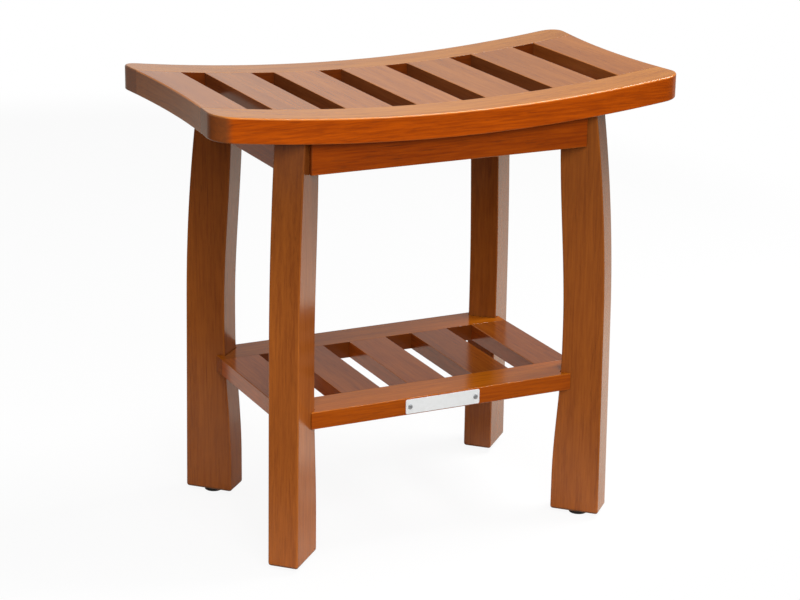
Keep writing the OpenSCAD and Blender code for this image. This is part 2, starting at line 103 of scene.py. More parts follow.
# The number of the first board of each kind; a board's number moves its figure.
FIRST_BOARD = {
    "rail": 1, "end": 5, "slat": 9, "long_apron": 15, "side_apron": 18,
    "leg": 22, "shelf_rail": 31, "shelf": 36, "block": 44,
}


# ---------------------------------------------------------------- settings


def size(name, description, default, play=None):
    """A length in metres whose slider goes a sixth below and above it, or as far as its play."""
    play = default / 6 if play is None else play
    return FloatProperty(
        name=name, description=description, default=default, min=default - play, max=default + play,
        unit="LENGTH", subtype="DISTANCE", precision=4,
    )


def share(name, description, default):
    """A strength from 0 to 1."""
    return FloatProperty(name=name, description=description, default=default, min=0, max=1, subtype="FACTOR")


def colour(name, description, default):
    """A linear colour."""
    return FloatVectorProperty(
        name=name, description=description, default=default, min=0, max=1, size=3, subtype="COLOR"
    )


class SeatSizes(bpy.types.PropertyGroup):
    """Sizes of the dished seat."""

    length: size("Length", "Seat length between the sharp points of its corners", 0.516)
    depth: size("Depth", "Seat depth from front to back", 0.267)
    height: size("Height", "Top of the seat at its middle", 0.459)
    thickness: size("Thickness", "Thickness of the seat", 0.025)
    rise: size("Rise", "Rise of the seat's corners above its middle", 0.0176)
    hollow: size("Hollow", "How far each end is hollowed inward", 0.009)
    corner: size("Corner radius", "Radius of the seat's corners in plan", 0.022)
    rail: size("Rail width", "Width of the two long rails", 0.0432)
    end: size("End rail width", "Width of the end rails, to the corners", 0.053)
    slat: size("Slat width", "Width of each slat", 0.0508)
    top_round: size("Top edge rounding", "Rounding of the outer top edge", 0.002)
    under_round: size("Lower edge rounding", "Rounding of the outer lower edge", 0.0012)
    slot_round: size("Slot edge rounding", "Rounding of the edges of the slots", 0.0007)
    seam_round: size("Seam rounding", "Rounding of the long rails' inner edges", 0.0003)


class FrameSizes(bpy.types.PropertyGroup):
    """Sizes of the legs and aprons."""

    inset_x: size("Leg inset along", "Seat corner to the leg's centre, along the seat", 0.091)
    inset_y: size("Leg inset across", "Seat edge to the leg's centre, across the seat", 0.025)
    leg: size("Leg thickness", "Thickness of the legs", 0.032)
    outer_foot: size("Outer edge", "Leg centre line to the outer edge, at the foot", 0.0255)
    outer_lean: size("Outer lean", "Inward lean of the outer edge below its bow", 0.0027)
    bow_z: size("Bow height", "Height at which the outer edge starts to bow", 0.223)
    bow_r: size("Bow radius", "Radius of the outer edge's bow", 1.77)
    inner_foot: size("Inner edge, foot", "Leg centre line to the inner edge, at the foot", 0.027)
    inner_waist: size("Inner edge, waist", "Leg centre line to the inner edge, at the waist", 0.0206)
    inner_head: size("Inner edge, head", "Leg centre line to the inner edge, at the head", 0.0306)
    flare_z: size("Foot flare", "Height up to which the foot's inner edge is upright", 0.043)
    waist_low: size("Waist, lower end", "Height at which the waist starts", 0.183)
    waist_high: size("Waist, upper end", "Height at which the waist ends", 0.208)
    leg_round: size("Leg edge rounding", "Rounding of the legs' long edges", 0.0016)
    foot_round: size("Leg end rounding", "Rounding of the legs' lower ends", 0.0032)
    apron_h: size("Apron height", "Height of the aprons at the seat's middle", 0.0275)
    apron_t: size("Apron thickness", "Thickness of the aprons", 0.02)
    apron_reach_y: size("Long apron reach", "Long aprons' outer face beyond the leg's centre", 0.0132)
    apron_reach_x: size("Side apron reach", "Side aprons' outer face beyond the leg's centre", 0.0084)
    apron_tip: size("Apron tip", "Square cut at the aprons' pointed tips", 0.005)
    apron_round: size("Apron edge rounding", "Rounding of the aprons' outer edges", 0.0012)
    gap: size("Gap", "Gap between wooden faces that meet", 0.0001)


class ShelfSizes(bpy.types.PropertyGroup):
    """Sizes of the shelf and its plate."""

    height: size("Height", "Top of the shelf above the floor", 0.161)
    thickness: size("Thickness", "Thickness of the shelf", 0.018)
    reach_x: size("End reach", "Shelf's end edges beyond the leg's centre", 0.0034)
    reach_y: size("Front reach", "Shelf's front and back edges beyond the leg's centre", 0.005)
    rail: size("Rail width", "Width of the two long rails", 0.0414)
    end: size("End rail width", "Width of the end rails", 0.0426)
    slat: size("Slat width", "Width of each slat", 0.0434)
    tip: size("Tip cut", "Square cut at the shelf's pointed corner tips", 0.001)
    edge_round: size("Edge rounding", "Rounding of the shelf's outer edges", 0.0009)
    slot_round: size("Slot edge rounding", "Rounding of the edges of the slots", 0.0007)
    joint_round: size("Joint rounding", "Rounding of edges that meet another board", 0.0002)
    plate_w: size("Plate width", "Width of the metal plate", 0.084)
    plate_h: size("Plate height", "Height of the metal plate", 0.0154)
    plate_t: size("Plate thickness", "Thickness of the metal plate", 0.001)
    plate_r: size("Plate corner", "Corner radius of the metal plate", 0.0015)
    plate_x: size("Plate place", "Plate's middle from the shelf's middle", -0.002, 0.02)
    plate_screw_in: size("Screw inset", "Distance from the plate's ends to its screws", 0.0047)
    plate_head: size("Screw head", "Diameter of the plate's screw heads", 0.005)
    plate_head_h: size("Screw head height", "Height of the plate's screw heads", 0.0011)


class FootSizes(bpy.types.PropertyGroup):
    """Sizes of the levelling feet."""

    pad_d: size("Pad diameter", "Diameter of the foot pads", 0.02)
    pad_h: size("Pad height", "Height of the foot pads", 0.005)
    pad_bevel: size("Pad bevel", "Bevel of the pads' lower edges", 0.0008)
    stud_d: size("Stud diameter", "Diameter of the threaded studs", 0.006)
    stud_l: size("Stud length", "Length of the studs above the pads", 0.024)
    pitch: size("Thread pitch", "Pitch of the studs' thread", 0.001)


class FinishColours(bpy.types.PropertyGroup):
    """Colours and strengths of the finishes; each timber's two colours are added below."""

    end_grain: colour("End grain", "Stained end grain of every board", (0.12, 0.046, 0.015))
    # The edge colour is a painted highlight along the rounded edges.
    edge: colour("Edges", "Timber sanded lighter along the rounded edges", (0.62, 0.190, 0.022))
    pore: colour("Pores", "Dark pores of the timber", (0.055, 0.014, 0.004))
    dowel: colour("Dowels", "Pale wood of the dowels", (0.55, 0.38, 0.19))
    steel: colour("Steel", "Zinc plated steel of the bolts and screws", (0.55, 0.56, 0.57))
    brass: colour("Brass", "Brass of the threaded inserts", (0.62, 0.42, 0.14))
    plate: colour("Plate", "Brushed metal of the plate", (0.95, 0.98, 1.0))
    screw: colour("Plate screws", "Dulled metal of the plate's screws", (0.48, 0.50, 0.52))
    rubber: colour("Feet", "Black plastic of the foot pads", (0.012, 0.012, 0.013))
    bands: share("Bands", "Strength of the timber's broad bands", 0.6)
    streaks: share("Streaks", "Strength of the timber's fine streaks", 0.65)
    pores: share("Pore strength", "Strength of the dark pores", 0.5)
    varnish: share("Varnish", "Weight of the varnish coat", 1.0)


# The top colours are lighter and paler than the sides of the same timber: a painted sheen on upward faces.
TIMBER_COLOURS = (
    ("rail", "the seat's long rails", (0.545, 0.090, 0.001), (0.295, 0.041, 0.0008)),
    ("rail_top", "the long rails' tops", (0.52, 0.185, 0.014), (0.36, 0.106, 0.007)),
    # The slats' sides show only as the walls of the slots, and are darker than the end rails' sides as
    # painted shade.
    ("slat", "the slats' sides", (0.24, 0.072, 0.020), (0.14, 0.038, 0.011)),
    ("end", "the end rails' sides", (0.37, 0.112, 0.022), (0.23, 0.058, 0.012)),
    ("slat_top", "the slats' and end rails' tops", (0.44, 0.145, 0.018), (0.28, 0.078, 0.010)),
    ("leg", "the legs", (0.34, 0.094, 0.013), (0.19, 0.044, 0.0075)),
    ("apron", "the aprons", (0.36, 0.060, 0.001), (0.20, 0.026, 0.001)),
    ("shelf_rail", "the shelf's long rails", (0.45, 0.086, 0.001), (0.25, 0.041, 0.001)),
    ("shelf_rail_top", "the shelf rails' tops", (0.54, 0.144, 0.003), (0.32, 0.068, 0.002)),
    ("shelf", "the shelf's slats and end rails", (0.36, 0.070, 0.006), (0.19, 0.032, 0.003)),
    ("shelf_top", "the tops of the shelf's slats and end rails", (0.38, 0.098, 0.009), (0.23, 0.048, 0.005)),
)


def add_timber_colours():
    """Give the finishes a lighter and a darker colour for each kind of timber."""
    for kind, boards, light, dark in TIMBER_COLOURS:
        label = kind.replace("_", " ").capitalize()
        for shown, word, tone in (("light", "Lighter", light), ("dark", "Darker", dark)):
            FinishColours.__annotations__[f"{kind}_{shown}"] = colour(
                f"{label}, {shown}", f"{word} timber of {boards}", tone
            )


add_timber_colours()


class StageSettings(bpy.types.PropertyGroup):
    """The lamps and the camera."""

    focal: FloatProperty(
        name="Focal length", description="Camera lens in millimetres", default=102.21,
        min=50, max=200, unit="CAMERA",
    )
    key: FloatProperty(
        name="Key light", description="Power of the front lamp", default=27, min=0, unit="POWER",
    )
    top: FloatProperty(
        name="Top light", description="Power of the overhead lamp", default=32, min=0, unit="POWER",
    )
    ambient: share("Ambient", "Strength of the light all round", 0.3)
    backdrop: colour("Backdrop", "Colour of the pale surroundings", (1.0, 1.0, 1.0))


class BenchSettings(bpy.types.PropertyGroup):
    """All settings of the bench."""

    seat: PointerProperty(type=SeatSizes, name="Seat", description="Sizes of the seat")
    frame: PointerProperty(type=FrameSizes, name="Frame", description="Sizes of the legs and aprons")
    shelf: PointerProperty(type=ShelfSizes, name="Shelf", description="Sizes of the shelf")
    foot: PointerProperty(type=FootSizes, name="Feet", description="Sizes of the feet")
    finish: PointerProperty(type=FinishColours, name="Finish", description="Colours of the bench")
    stage: PointerProperty(type=StageSettings, name="Stage", description="Lamps and camera")


# ---------------------------------------------------------------- layout


class Layout:
    """Lines and curves of the bench, worked out from its settings."""

    def __init__(self, bench):
        seat, legs, shelf = bench.seat, bench.frame, bench.shelf
        self.seat, self.legs, self.shelf, self.foot = seat, legs, shelf, bench.foot
        self.half_l, self.half_d = seat.length / 2, seat.depth / 2
        self.dish_r = (self.half_l**2 + seat.rise**2) / (2 * seat.rise)
        self.end_r = (self.half_d**2 + seat.hollow**2) / (2 * seat.hollow)
        self.inner_x = self.half_l - seat.end
        self.inner_y = self.half_d - seat.rail
        self.under_z = seat.height - seat.thickness
        self.slats, self.slots = self.spacing(self.inner_x, SEAT_SLATS, seat.slat)
        self.leg_x = self.half_l - legs.inset_x
        self.leg_y = self.half_d - legs.inset_y
        leg_side = (legs.leg / 2 + legs.gap) * DIAGONAL
        self.side_x = self.leg_x - self.leg_y - leg_side
        self.side_y = self.leg_y - self.leg_x - leg_side
        self.head_z = self.under_z - HEAD_DROP
        self.apron_x = self.leg_x + legs.apron_reach_x
        self.apron_y = self.leg_y + legs.apron_reach_y
        self.apron_z = self.under_z - legs.apron_h
        self.shelf_x = self.leg_x + shelf.reach_x
        self.shelf_y = self.leg_y + shelf.reach_y
        self.shelf_z = shelf.height - shelf.thickness
        self.shelf_inner_x = self.shelf_x - shelf.end
        self.shelf_inner_y = self.shelf_y - shelf.rail
        self.shelf_slats, self.shelf_slots = self.spacing(self.shelf_inner_x, SHELF_SLATS, shelf.slat)

    @staticmethod
    def spacing(inner_x, slats, width):
        """Middle of each slat, and start and end of each slot, along X."""
        slot = (2 * inner_x - slats * width) / (slats + 1)
        pitch = width + slot
        middles = [(i - slats / 2) * pitch for i in range(slats + 1)]
        return (
            [(i - (slats - 1) / 2) * pitch for i in range(slats)],
            [(m - slot / 2, m + slot / 2) for m in middles],
        )

    def dish(self, x, depth):
        """Height of a dished surface that lies the given depth below the seat's top."""
        return self.seat.height + self.dish_r - math.sqrt((self.dish_r + depth) ** 2 - x * x)

    def seat_end(self, y):
        """Distance along X from the seat's middle to its hollowed end."""
        return self.half_l - self.seat.hollow + self.end_r - math.sqrt(self.end_r**2 - y * y)

    def leg_inner(self, z):
        """Distance from the leg's centre line to its inner edge."""
        legs, waist = self.legs, self.legs.inner_waist
        head = blend((z - legs.waist_high) / (self.head_z - legs.waist_high))
        foot = blend((legs.waist_low - z) / (legs.waist_low - legs.flare_z))
        return waist + (legs.inner_head - waist) * head + (legs.inner_foot - waist) * foot

    def leg_outer(self, z):
        """Distance from the leg's centre line to its outer edge."""
        legs = self.legs
        bowed = max(0, z - legs.bow_z) ** 2 / (2 * legs.bow_r)
        return legs.outer_foot - legs.outer_lean * z / legs.bow_z - bowed

    def shelf_end(self):
        """Outline of a shelf rail's end round its leg, from the inner edge outward."""
        side_tip = self.shelf_x + self.side_y - self.shelf.tip
        front_tip = self.shelf_y + self.side_x - self.shelf.tip
        back = self.leg_inner(self.shelf_z) + self.legs.gap
        half = self.legs.leg / 2 + self.legs.gap
        notch = [
            (self.leg_x - (back + v) / DIAGONAL, self.leg_y - (back - v) / DIAGONAL) for v in (-half, half)
        ]
        return [
            (self.shelf_x, side_tip), (side_tip - self.side_y, side_tip), *notch,
            (front_tip, front_tip - self.side_x), (front_tip, self.shelf_y),
        ]


def blend(t):
    """Ease from 0 to 1 with level ends."""
    t = max(0.0, min(1.0, t))
    return t * t * (3 - 2 * t)


# ---------------------------------------------------------------- modelling helpers


def add_block(name, low, high):
    """Add a block between two corners and open it in edit mode."""
    bpy.ops.object.select_all(action="DESELECT")
    low, high = Vector(low), Vector(high)
    bpy.ops.mesh.primitive_cube_add(size=1, location=(low + high) / 2, scale=high - low)
    return open_new(name)


def add_disc(name, radius, low, high, sides, turn=(0, 0, 0)):
    """Add an upright disc or rod between two heights and open it in edit mode."""
    bpy.ops.object.select_all(action="DESELECT")
    bpy.ops.mesh.primitive_cylinder_add(
        vertices=sides, radius=radius, depth=high - low, location=(0, 0, (low + high) / 2), rotation=turn
    )
    return open_new(name)


def open_new(name):
    """Name the new primitive, put its place in its mesh and open it in edit mode."""
    piece = bpy.context.object
    piece.name = piece.data.name = name
    bpy.ops.object.transform_apply(location=True, rotation=True, scale=True)
    bpy.ops.object.mode_set(mode="EDIT")
    return piece


def leave_edit():
    """Leave edit mode."""
    bpy.ops.object.mode_set(mode="OBJECT")


def select_only(*pieces):
    """Select some pieces and nothing else, with the first one active."""
    bpy.ops.object.select_all(action="DESELECT")
    for piece in pieces:
        piece.select_set(True)
    bpy.context.view_layer.objects.active = pieces[0]


def copy_of(piece, name):
    """Copy a piece with a mesh of its own and open the copy in edit mode."""
    select_only(piece)
    bpy.ops.object.duplicate(linked=False)
    return open_new(name)


def pick(kind, test):
    """Select the vertices, edges or faces in edit mode that pass a test."""
    mesh = bpy.context.edit_object.data
    bpy.ops.mesh.select_mode(type=kind)
    bpy.ops.mesh.select_all(action="DESELECT")
    shape = bmesh.from_edit_mesh(mesh)
    shape.normal_update()
    parts = {"VERT": shape.verts, "EDGE": shape.edges, "FACE": shape.faces}[kind]
    chosen = [part for part in parts if test(part)]
    for part in chosen:
        part.select_set(True)
    shape.select_flush_mode()
    bmesh.update_edit_mesh(mesh)
    return len(chosen)


def indices(test):
    """Numbers of the vertices in edit mode that pass a test."""
    shape = bmesh.from_edit_mesh(bpy.context.edit_object.data)
    shape.verts.index_update()
    return {v.index for v in shape.verts if test(v)}


def places(value):
    """The distinct places of the vertices in edit mode, to a micrometre."""
    shape = bmesh.from_edit_mesh(bpy.context.edit_object.data)
    return sorted({round(value(v.co), 6) for v in shape.verts})


def cut(point, normal, away=False):
    """Cut the whole mesh along a plane, and clear what lies on the normal's side if asked."""
    bpy.ops.mesh.select_mode(type="VERT")
    bpy.ops.mesh.select_all(action="SELECT")
    bpy.ops.mesh.bisect(
        plane_co=point, plane_no=Vector(normal).normalized(), use_fill=away, clear_outer=away, threshold=1e-6
    )


def cut_columns(*columns):
    """Cut the whole mesh across at places along X."""
    for x in columns:
        cut((x, 0, 0), (1, 0, 0))


def move(test, offset):
    """Move the vertices that pass a test."""
    if pick("VERT", test):
        bpy.ops.transform.translate(value=offset)


def move_all(offset):
    """Move the whole mesh in edit mode."""
    bpy.ops.mesh.select_all(action="SELECT")
    bpy.ops.transform.translate(value=offset)


def scale_about(centre, test, value):
    """Scale the vertices that pass a test about a point."""
    if pick("VERT", test):
        bpy.ops.transform.resize(value=value, center_override=centre)


def bevel(test, width, segments):
    """Bevel the edges that pass a test."""
    pick("EDGE", test)
    bpy.ops.mesh.bevel(offset=width, segments=segments, affect="EDGES")


def facing(face, axis, sign=0):
    """Whether a face looks along an axis, in either direction or in the sign's."""
    part = face.normal[axis]
    return abs(part) > FACING and (sign == 0 or part * sign > 0)


def between(edge, first, second):
    """Whether an edge lies between two kinds of face."""
    if len(edge.link_faces) != 2:
        return False
    a, b = edge.link_faces
    return (first(a) and second(b)) or (first(b) and second(a))


def top(face):
    return facing(face, 2, 1)


def under(face):
    return facing(face, 2, -1)


def side(face):
    return not facing(face, 2)


def is_ridge(edge):
    """Whether an edge is a real corner and not a line across a face."""
    return len(edge.link_faces) == 2 and edge.calc_face_angle(0) > RIDGE_ANGLE


def runs_along(edge, axis):
    """Whether a block's edge runs along an axis."""
    return abs(edge.verts[0].co[axis] - edge.verts[1].co[axis]) > TINY


def middle(edge):
    """Middle of an edge."""
    return (edge.verts[0].co + edge.verts[1].co) / 2


def round_edges(piece, radius_of, segments=3):
    """Round each ridge by the radius given for it, and leave edit mode."""
    shape = bmesh.from_edit_mesh(piece.data)
    shape.normal_update()
    shape.edges.index_update()
    radii = {e.index: radius_of(e) for e in shape.edges if is_ridge(e)}
    radii = {i: r for i, r in radii.items() if r}
    largest = max(radii.values())
    for radius in sorted(set(radii.values())):
        pick("EDGE", lambda e: radii.get(e.index) == radius)
        bpy.ops.transform.edge_bevelweight(value=radius / largest)
    leave_edit()
    soft = piece.modifiers.new("Rounded edges", "BEVEL")
    soft.limit_method = "WEIGHT"
    soft.width = largest
    soft.segments = segments
    soft.use_clamp_overlap = False
    bpy.ops.object.modifier_apply(modifier=soft.name)
    smooth(piece)


def smooth(piece):
    """Leave edit mode and shade a piece smooth, with level faces kept level."""
    leave_edit()
    select_only(piece)
    bpy.ops.object.shade_smooth_by_angle(angle=SMOOTH_ANGLE)
    level = piece.modifiers.new("Level faces", "WEIGHTED_NORMAL")
    level.keep_sharp = True
    bpy.ops.object.modifier_apply(modifier=level.name)


def hand_over(piece, node, finish, body="frame"):
    """Give a finished piece its material and its body, and hide the CAD node that it stands for."""
    piece.data.materials.clear()
    piece.data.materials.append(finish)
    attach(piece, body)
    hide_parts(node)


# ---------------------------------------------------------------- node helpers


# Places of a mix node's two colours and of the mixed one among its sockets.
MIX_FIRST, MIX_SECOND, MIX_RESULT = 6, 7, 2


class Nodes:
    """Adds to a node tree; a value is a number, a colour, a socket, or a node for its first output."""

    def __init__(self, tree):
        self.tree = tree

    def feed(self, target, value):
        """Set an input to a value, or link it."""
        if isinstance(value, bpy.types.Node):
            value = value.outputs[0]
        if isinstance(value, bpy.types.NodeSocket):
            self.tree.links.new(value, target)
        else:
            target.default_value = value

    def add(self, kind, *values, **named):
        """Add a node and feed its first inputs; names with a capital are other inputs, the rest settings."""
        made = self.tree.nodes.new(kind)
        for key, value in named.items():
            if key.islower():
                setattr(made, key, value)
        for target, value in zip(made.inputs, values):
            self.feed(target, value)
        for key, value in named.items():
            if not key.islower():
                self.feed(made.inputs[key.replace("_", " ")], value)
        return made

    def maths(self, operation, *values):
        """The result of a math node."""
        return self.add("ShaderNodeMath", *values, operation=operation).outputs[0]

    plus = partialmethod(maths, "ADD")
    minus = partialmethod(maths, "SUBTRACT")
    times = partialmethod(maths, "MULTIPLY")
    times_plus = partialmethod(maths, "MULTIPLY_ADD")
    larger = partialmethod(maths, "MAXIMUM")

    def along(self, vector, axis):
        """How far a vector reaches along an axis."""
        made = self.add("ShaderNodeVectorMath", vector, axis, operation="DOT_PRODUCT")
        return made.outputs["Value"]

    def mix(self, factor, first, second):
        """A mix of two colours."""
        made = self.add("ShaderNodeMix", factor, data_type="RGBA")
        self.feed(made.inputs[MIX_FIRST], first)
        self.feed(made.inputs[MIX_SECOND], second)
        return made.outputs[MIX_RESULT]

    def spread(self, value, low, high):
        """A value between two limits spread over 0 to 1, eased at both ends."""
        made = self.add("ShaderNodeMapRange", value, low, high, interpolation_type="SMOOTHSTEP")
        return made.outputs["Result"]

    def noise(self, vector, scale, detail, roughness):
        """Noise stretched by a scale along each axis."""
        stretched = self.add("ShaderNodeMapping", vector, Scale=scale)
        made = self.add("ShaderNodeTexNoise", stretched, Scale=1.0, Detail=detail, Roughness=roughness)
        return made.outputs["Fac"]


def shaded(tone, part=1.0):
    """A colour times a share, with its alpha."""
    return (*[c * part for c in tone], 1)


# ---------------------------------------------------------------- finishes


def begin_group(name, colours, numbers, vectors=("Vector",)):
    """A new node group with the named inputs, which puts out a colour, a roughness and a height."""
    group = bpy.data.node_groups.new(name, "ShaderNodeTree")
    for kind, labels in (("Vector", vectors), ("Color", colours), ("Float", numbers)):
        for label in labels:
            group.interface.new_socket(name=label, in_out="INPUT", socket_type="NodeSocket" + kind)
    for label, kind in (("Color", "Color"), ("Roughness", "Float"), ("Height", "Float")):
        group.interface.new_socket(name=label, in_out="OUTPUT", socket_type="NodeSocket" + kind)
    given, result = (group.nodes.new(kind) for kind in ("NodeGroupInput", "NodeGroupOutput"))
    return Nodes(group), given.outputs, result.inputs


def timber_figure():
    """Node group of sawn timber with its grain along X: bands, streaks and pores, with painted sheen on
    upward faces, a painted highlight on rounded edges and painted shade.
    """
    if "Timber figure" in bpy.data.node_groups:
        return bpy.data.node_groups["Timber figure"]
    tree, given, result = begin_group(
        "Timber figure",
        ("Light", "Dark", "Top Light", "Top Dark", "Pore", "End Grain", "Edge Color"),
        ("Up", "End", "Edge", "Stain", "Bands", "Streaks", "Pores", "Polish"),
    )

    def figure(scale, detail, roughness, low, high):
        return tree.spread(tree.noise(given["Vector"], scale, detail, roughness), low, high)

    cloud = figure((4, 20, 20), 3, 0.55, 0.3, 0.7)
    band = figure((5, 80, 80), 3, 0.55, 0.32, 0.68)
    streak = figure((20, 420, 420), 4, 0.65, 0.36, 0.66)
    fleck = figure((40, 850, 850), 2, 0.6, 0.57, 0.68)
    pore = figure((90, 2400, 2400), 1, 0.5, 0.56, 0.70)

    shade = tree.plus(tree.times(cloud, 0.45), tree.times(band, 0.55))
    shade = tree.times_plus(tree.minus(shade, 0.5), given["Bands"], 0.42)
    shade = tree.times_plus(tree.minus(streak, 0.5), given["Streaks"], shade)
    # Upward faces take the lighter, paler top colours, a painted sheen.
    light = tree.mix(given["Up"], given["Light"], given["Top Light"])
    dark = tree.mix(given["Up"], given["Dark"], given["Top Dark"])
    timber = tree.mix(tree.add("ShaderNodeClamp", shade), light, dark)

    marks = tree.times(tree.larger(fleck, tree.times(pore, 0.6)), given["Pores"])
    marks = tree.times(marks, tree.times_plus(band, 0.7, 0.3))
    # The edge colour is a painted highlight, taken off where painted shade lies.
    edge = tree.times(given["Edge"], tree.minus(1.0, given["Stain"]))
    for amount, tone in (
        # Painted shade darkens the timber towards the pore colour.
        (marks, "Pore"), (tree.times(given["Stain"], 0.8), "Pore"),
        (edge, "Edge Color"), (given["End"], "End Grain"),
    ):
        timber = tree.mix(amount, timber, given[tone])
    tree.feed(result["Color"], timber)
    tree.feed(result["Roughness"], tree.times_plus(streak, 0.08, given["Polish"]))
    relief = tree.minus(tree.times(streak, 0.25), tree.times(marks, 0.8))
    tree.feed(result["Height"], tree.times(relief, tree.minus(1.0, given["End"])))
    return tree.tree


def worn_surface():
    """Node group of a plain surface with fine marks: brushing, dulling and dust."""
    if "Worn surface" in bpy.data.node_groups:
        return bpy.data.node_groups["Worn surface"]
    tree, given, result = begin_group(
        "Worn surface", ("Clean", "Dull"), ("Amount", "Smooth"), ("Vector", "Brushing")
    )
    scaled = tree.add("ShaderNodeVectorMath", given["Vector"], given["Brushing"], operation="MULTIPLY")
    lines = tree.noise(scaled, (1, 1, 1), 3, 0.6)
    cloud = tree.spread(tree.noise(given["Vector"], (160, 160, 160), 3, 0.6), 0.35, 0.7)
    dulling = tree.times(cloud, given["Amount"])
    rough = tree.times_plus(dulling, 0.15, given["Smooth"])
    tree.feed(result["Color"], tree.mix(dulling, given["Clean"], given["Dull"]))
    tree.feed(result["Roughness"], tree.times_plus(lines, 0.1, rough))
    tree.feed(result["Height"], lines)
    return tree.tree


def begin_tree(owner, output):
    """Empty a material's or a world's nodes, and give the surface of its output."""
    owner.use_nodes = True
    owner.node_tree.nodes.clear()
    tree = Nodes(owner.node_tree)
    return tree, tree.add(output).inputs["Surface"]


def begin_material(name, **shine):
    """A new material with its shader, tuned by plain values, and its coordinates."""
    made = bpy.data.materials.new(name)
    tree, surface = begin_tree(made, "ShaderNodeOutputMaterial")
    shader = tree.add("ShaderNodeBsdfPrincipled", **shine)
    tree.feed(surface, shader)
    return made, tree, shader, tree.add("ShaderNodeTexCoord").outputs


def place_group(tree, group, shader, bump, **inputs):
    """Put a node group in a material and feed the shader from it."""
    used = tree.add("ShaderNodeGroup", node_tree=group, **inputs)
    relief = tree.add("ShaderNodeBump", Strength=bump, Distance=0.0002, Height=used.outputs["Height"])
    tree.feed(shader.inputs["Base Color"], used.outputs["Color"])
    tree.feed(shader.inputs["Roughness"], used.outputs["Roughness"])
    tree.feed(shader.inputs["Normal"], relief)


AXES = {"X": (1, 0, 0), "Y": (0, 1, 0), "Z": (0, 0, 1)}
TURNS = {"X": (0, 0, 0), "Y": (0, 0, -math.pi / 2), "Z": (0, math.pi / 2, 0)}
# Kinds whose upward faces take the top colours, a painted sheen.
TOP_KINDS = {
    "rail": "rail_top", "slat": "slat_top", "end": "slat_top",
    "shelf": "shelf_top", "shelf_rail": "shelf_rail_top",
}


def timber(
    name, grain, board, kind, tone=1.0, lines=1.0, bands=1.0, edges=1.0,
    ends=(0.75, 0.3), shade_facing=None, head_shade=0,
):
    """Varnished timber with its grain along an axis, and a board number that moves the figure."""
    finish = bpy.context.scene.bench.finish
    made, tree, shader, where = begin_material(
        name + " timber",
        Specular_IOR_Level=0.0, Coat_Weight=finish.varnish, Coat_Roughness=0.16, Coat_IOR=1.42,
    )
    tones = {
        f"{face}{shown.title()}": shaded(getattr(finish, f"{part}_{shown}"), tone)
        for face, part in (("", kind), ("Top_", TOP_KINDS.get(kind, kind))) for shown in ("light", "dark")
    }

    def towards(axis, low=None, high=None):
        """How far a face looks along an axis, spread between two limits if they are given."""
        turned_to = tree.along(where["Normal"], axis)
        return turned_to if low is None else tree.spread(turned_to, low, high)

    # End grain shows on faces that look along the board, at either end; the first end, which on the seat
    # rails is the left end, takes the larger share, and that extra darkness is painted shade.
    left_end, right_end = (
        tree.times(towards([part * sign for part in AXES[grain]], 0.0, 0.4), amount)
        for sign, amount in zip(SIGNS, ends)
    )
    # Painted shade: faces that look one way, or a leg's upper part under the seat, are darkened towards the
    # pore colour.
    painted_shade = 0.0
    if shade_facing:
        painted_shade = towards(shade_facing, 0.3, 0.8)
    elif head_shade:
        height = tree.add("ShaderNodeSeparateXYZ", where["Object"]).outputs["Z"]
        painted_shade = tree.times(tree.spread(height, HEAD_SHADE_LOW, HEAD_SHADE_HIGH), head_shade)
    # Rounded edges are the faces that look between two sides of the board; they take a painted highlight,
    # weaker on the lower edges.
    if kind == "leg":
        across = tree.maths("ABSOLUTE", tree.times(towards((1, 0, 0)), towards((0, 1, 0))))
        edge = tree.minus(0.35, tree.times(tree.spread(across, 0.25, 0.46), 0.35))
    else:
        upper, lower = (
            tree.minus(towards((0, 0, z), 0.1, 0.4), towards((0, 0, z), 0.85, 0.985)) for z in (1, -1)
        )
        edge = tree.times_plus(lower, 0.3, upper)
    moved = (board * 0.731, board * 0.317, board * 0.193)
    turned = tree.add("ShaderNodeMapping", where["Object"], Rotation=TURNS[grain], Location=moved)
    place_group(
        tree, timber_figure(), shader, bump=0.1, Vector=turned, **tones,
        Pore=shaded(finish.pore), End_Grain=shaded(finish.end_grain), Edge_Color=shaded(finish.edge),
        # Upward faces get the painted sheen of the top colours.
        Up=towards((0, 0, 1), 0.3, 0.95), End=tree.plus(left_end, right_end),
        Edge=tree.times(edge, edges), Stain=painted_shade,
        Bands=finish.bands * bands, Streaks=finish.streaks * lines, Pores=finish.pores * lines, Polish=0.45,
    )
    made.diffuse_color = tones["Light"]
    return made


def worn(name, clean, dull, roughness=0.3, brushing=(300, 300, 300), bump=0.1, amount=0.5, **shine):
    """Metal or plastic with fine brushing and dull patches."""
    made, tree, shader, where = begin_material(name, **shine)
    place_group(
        tree, worn_surface(), shader, bump, Vector=where["Object"],
        Clean=shaded(clean), Dull=shaded(dull), Brushing=brushing, Amount=amount, Smooth=roughness,
    )
    made.diffuse_color = shaded(clean)
    return made


# ---------------------------------------------------------------- seat


def hollow_ends(plan):
    """Draw the seat's ends in along their hollow arc, row by row."""
    for y in places(lambda co: co.y):
        reach = (plan.seat_end(y) - plan.inner_x) / (plan.half_l - plan.inner_x)
        for sign in SIGNS:
            scale_about(
                (sign * plan.inner_x, 0, 0),
                lambda v: v.co.x * sign > plan.inner_x + TINY and round(v.co.y, 6) == y, (reach, 1, 1),
            )


def raise_columns(chosen, height_of):
    """Lift the numbered vertices, column by column along X, by a height for each X."""
    for x in places(lambda co: abs(co.x)):
        move(lambda v: v.index in chosen and round(abs(v.co.x), 6) == x, (0, 0, height_of(x)))


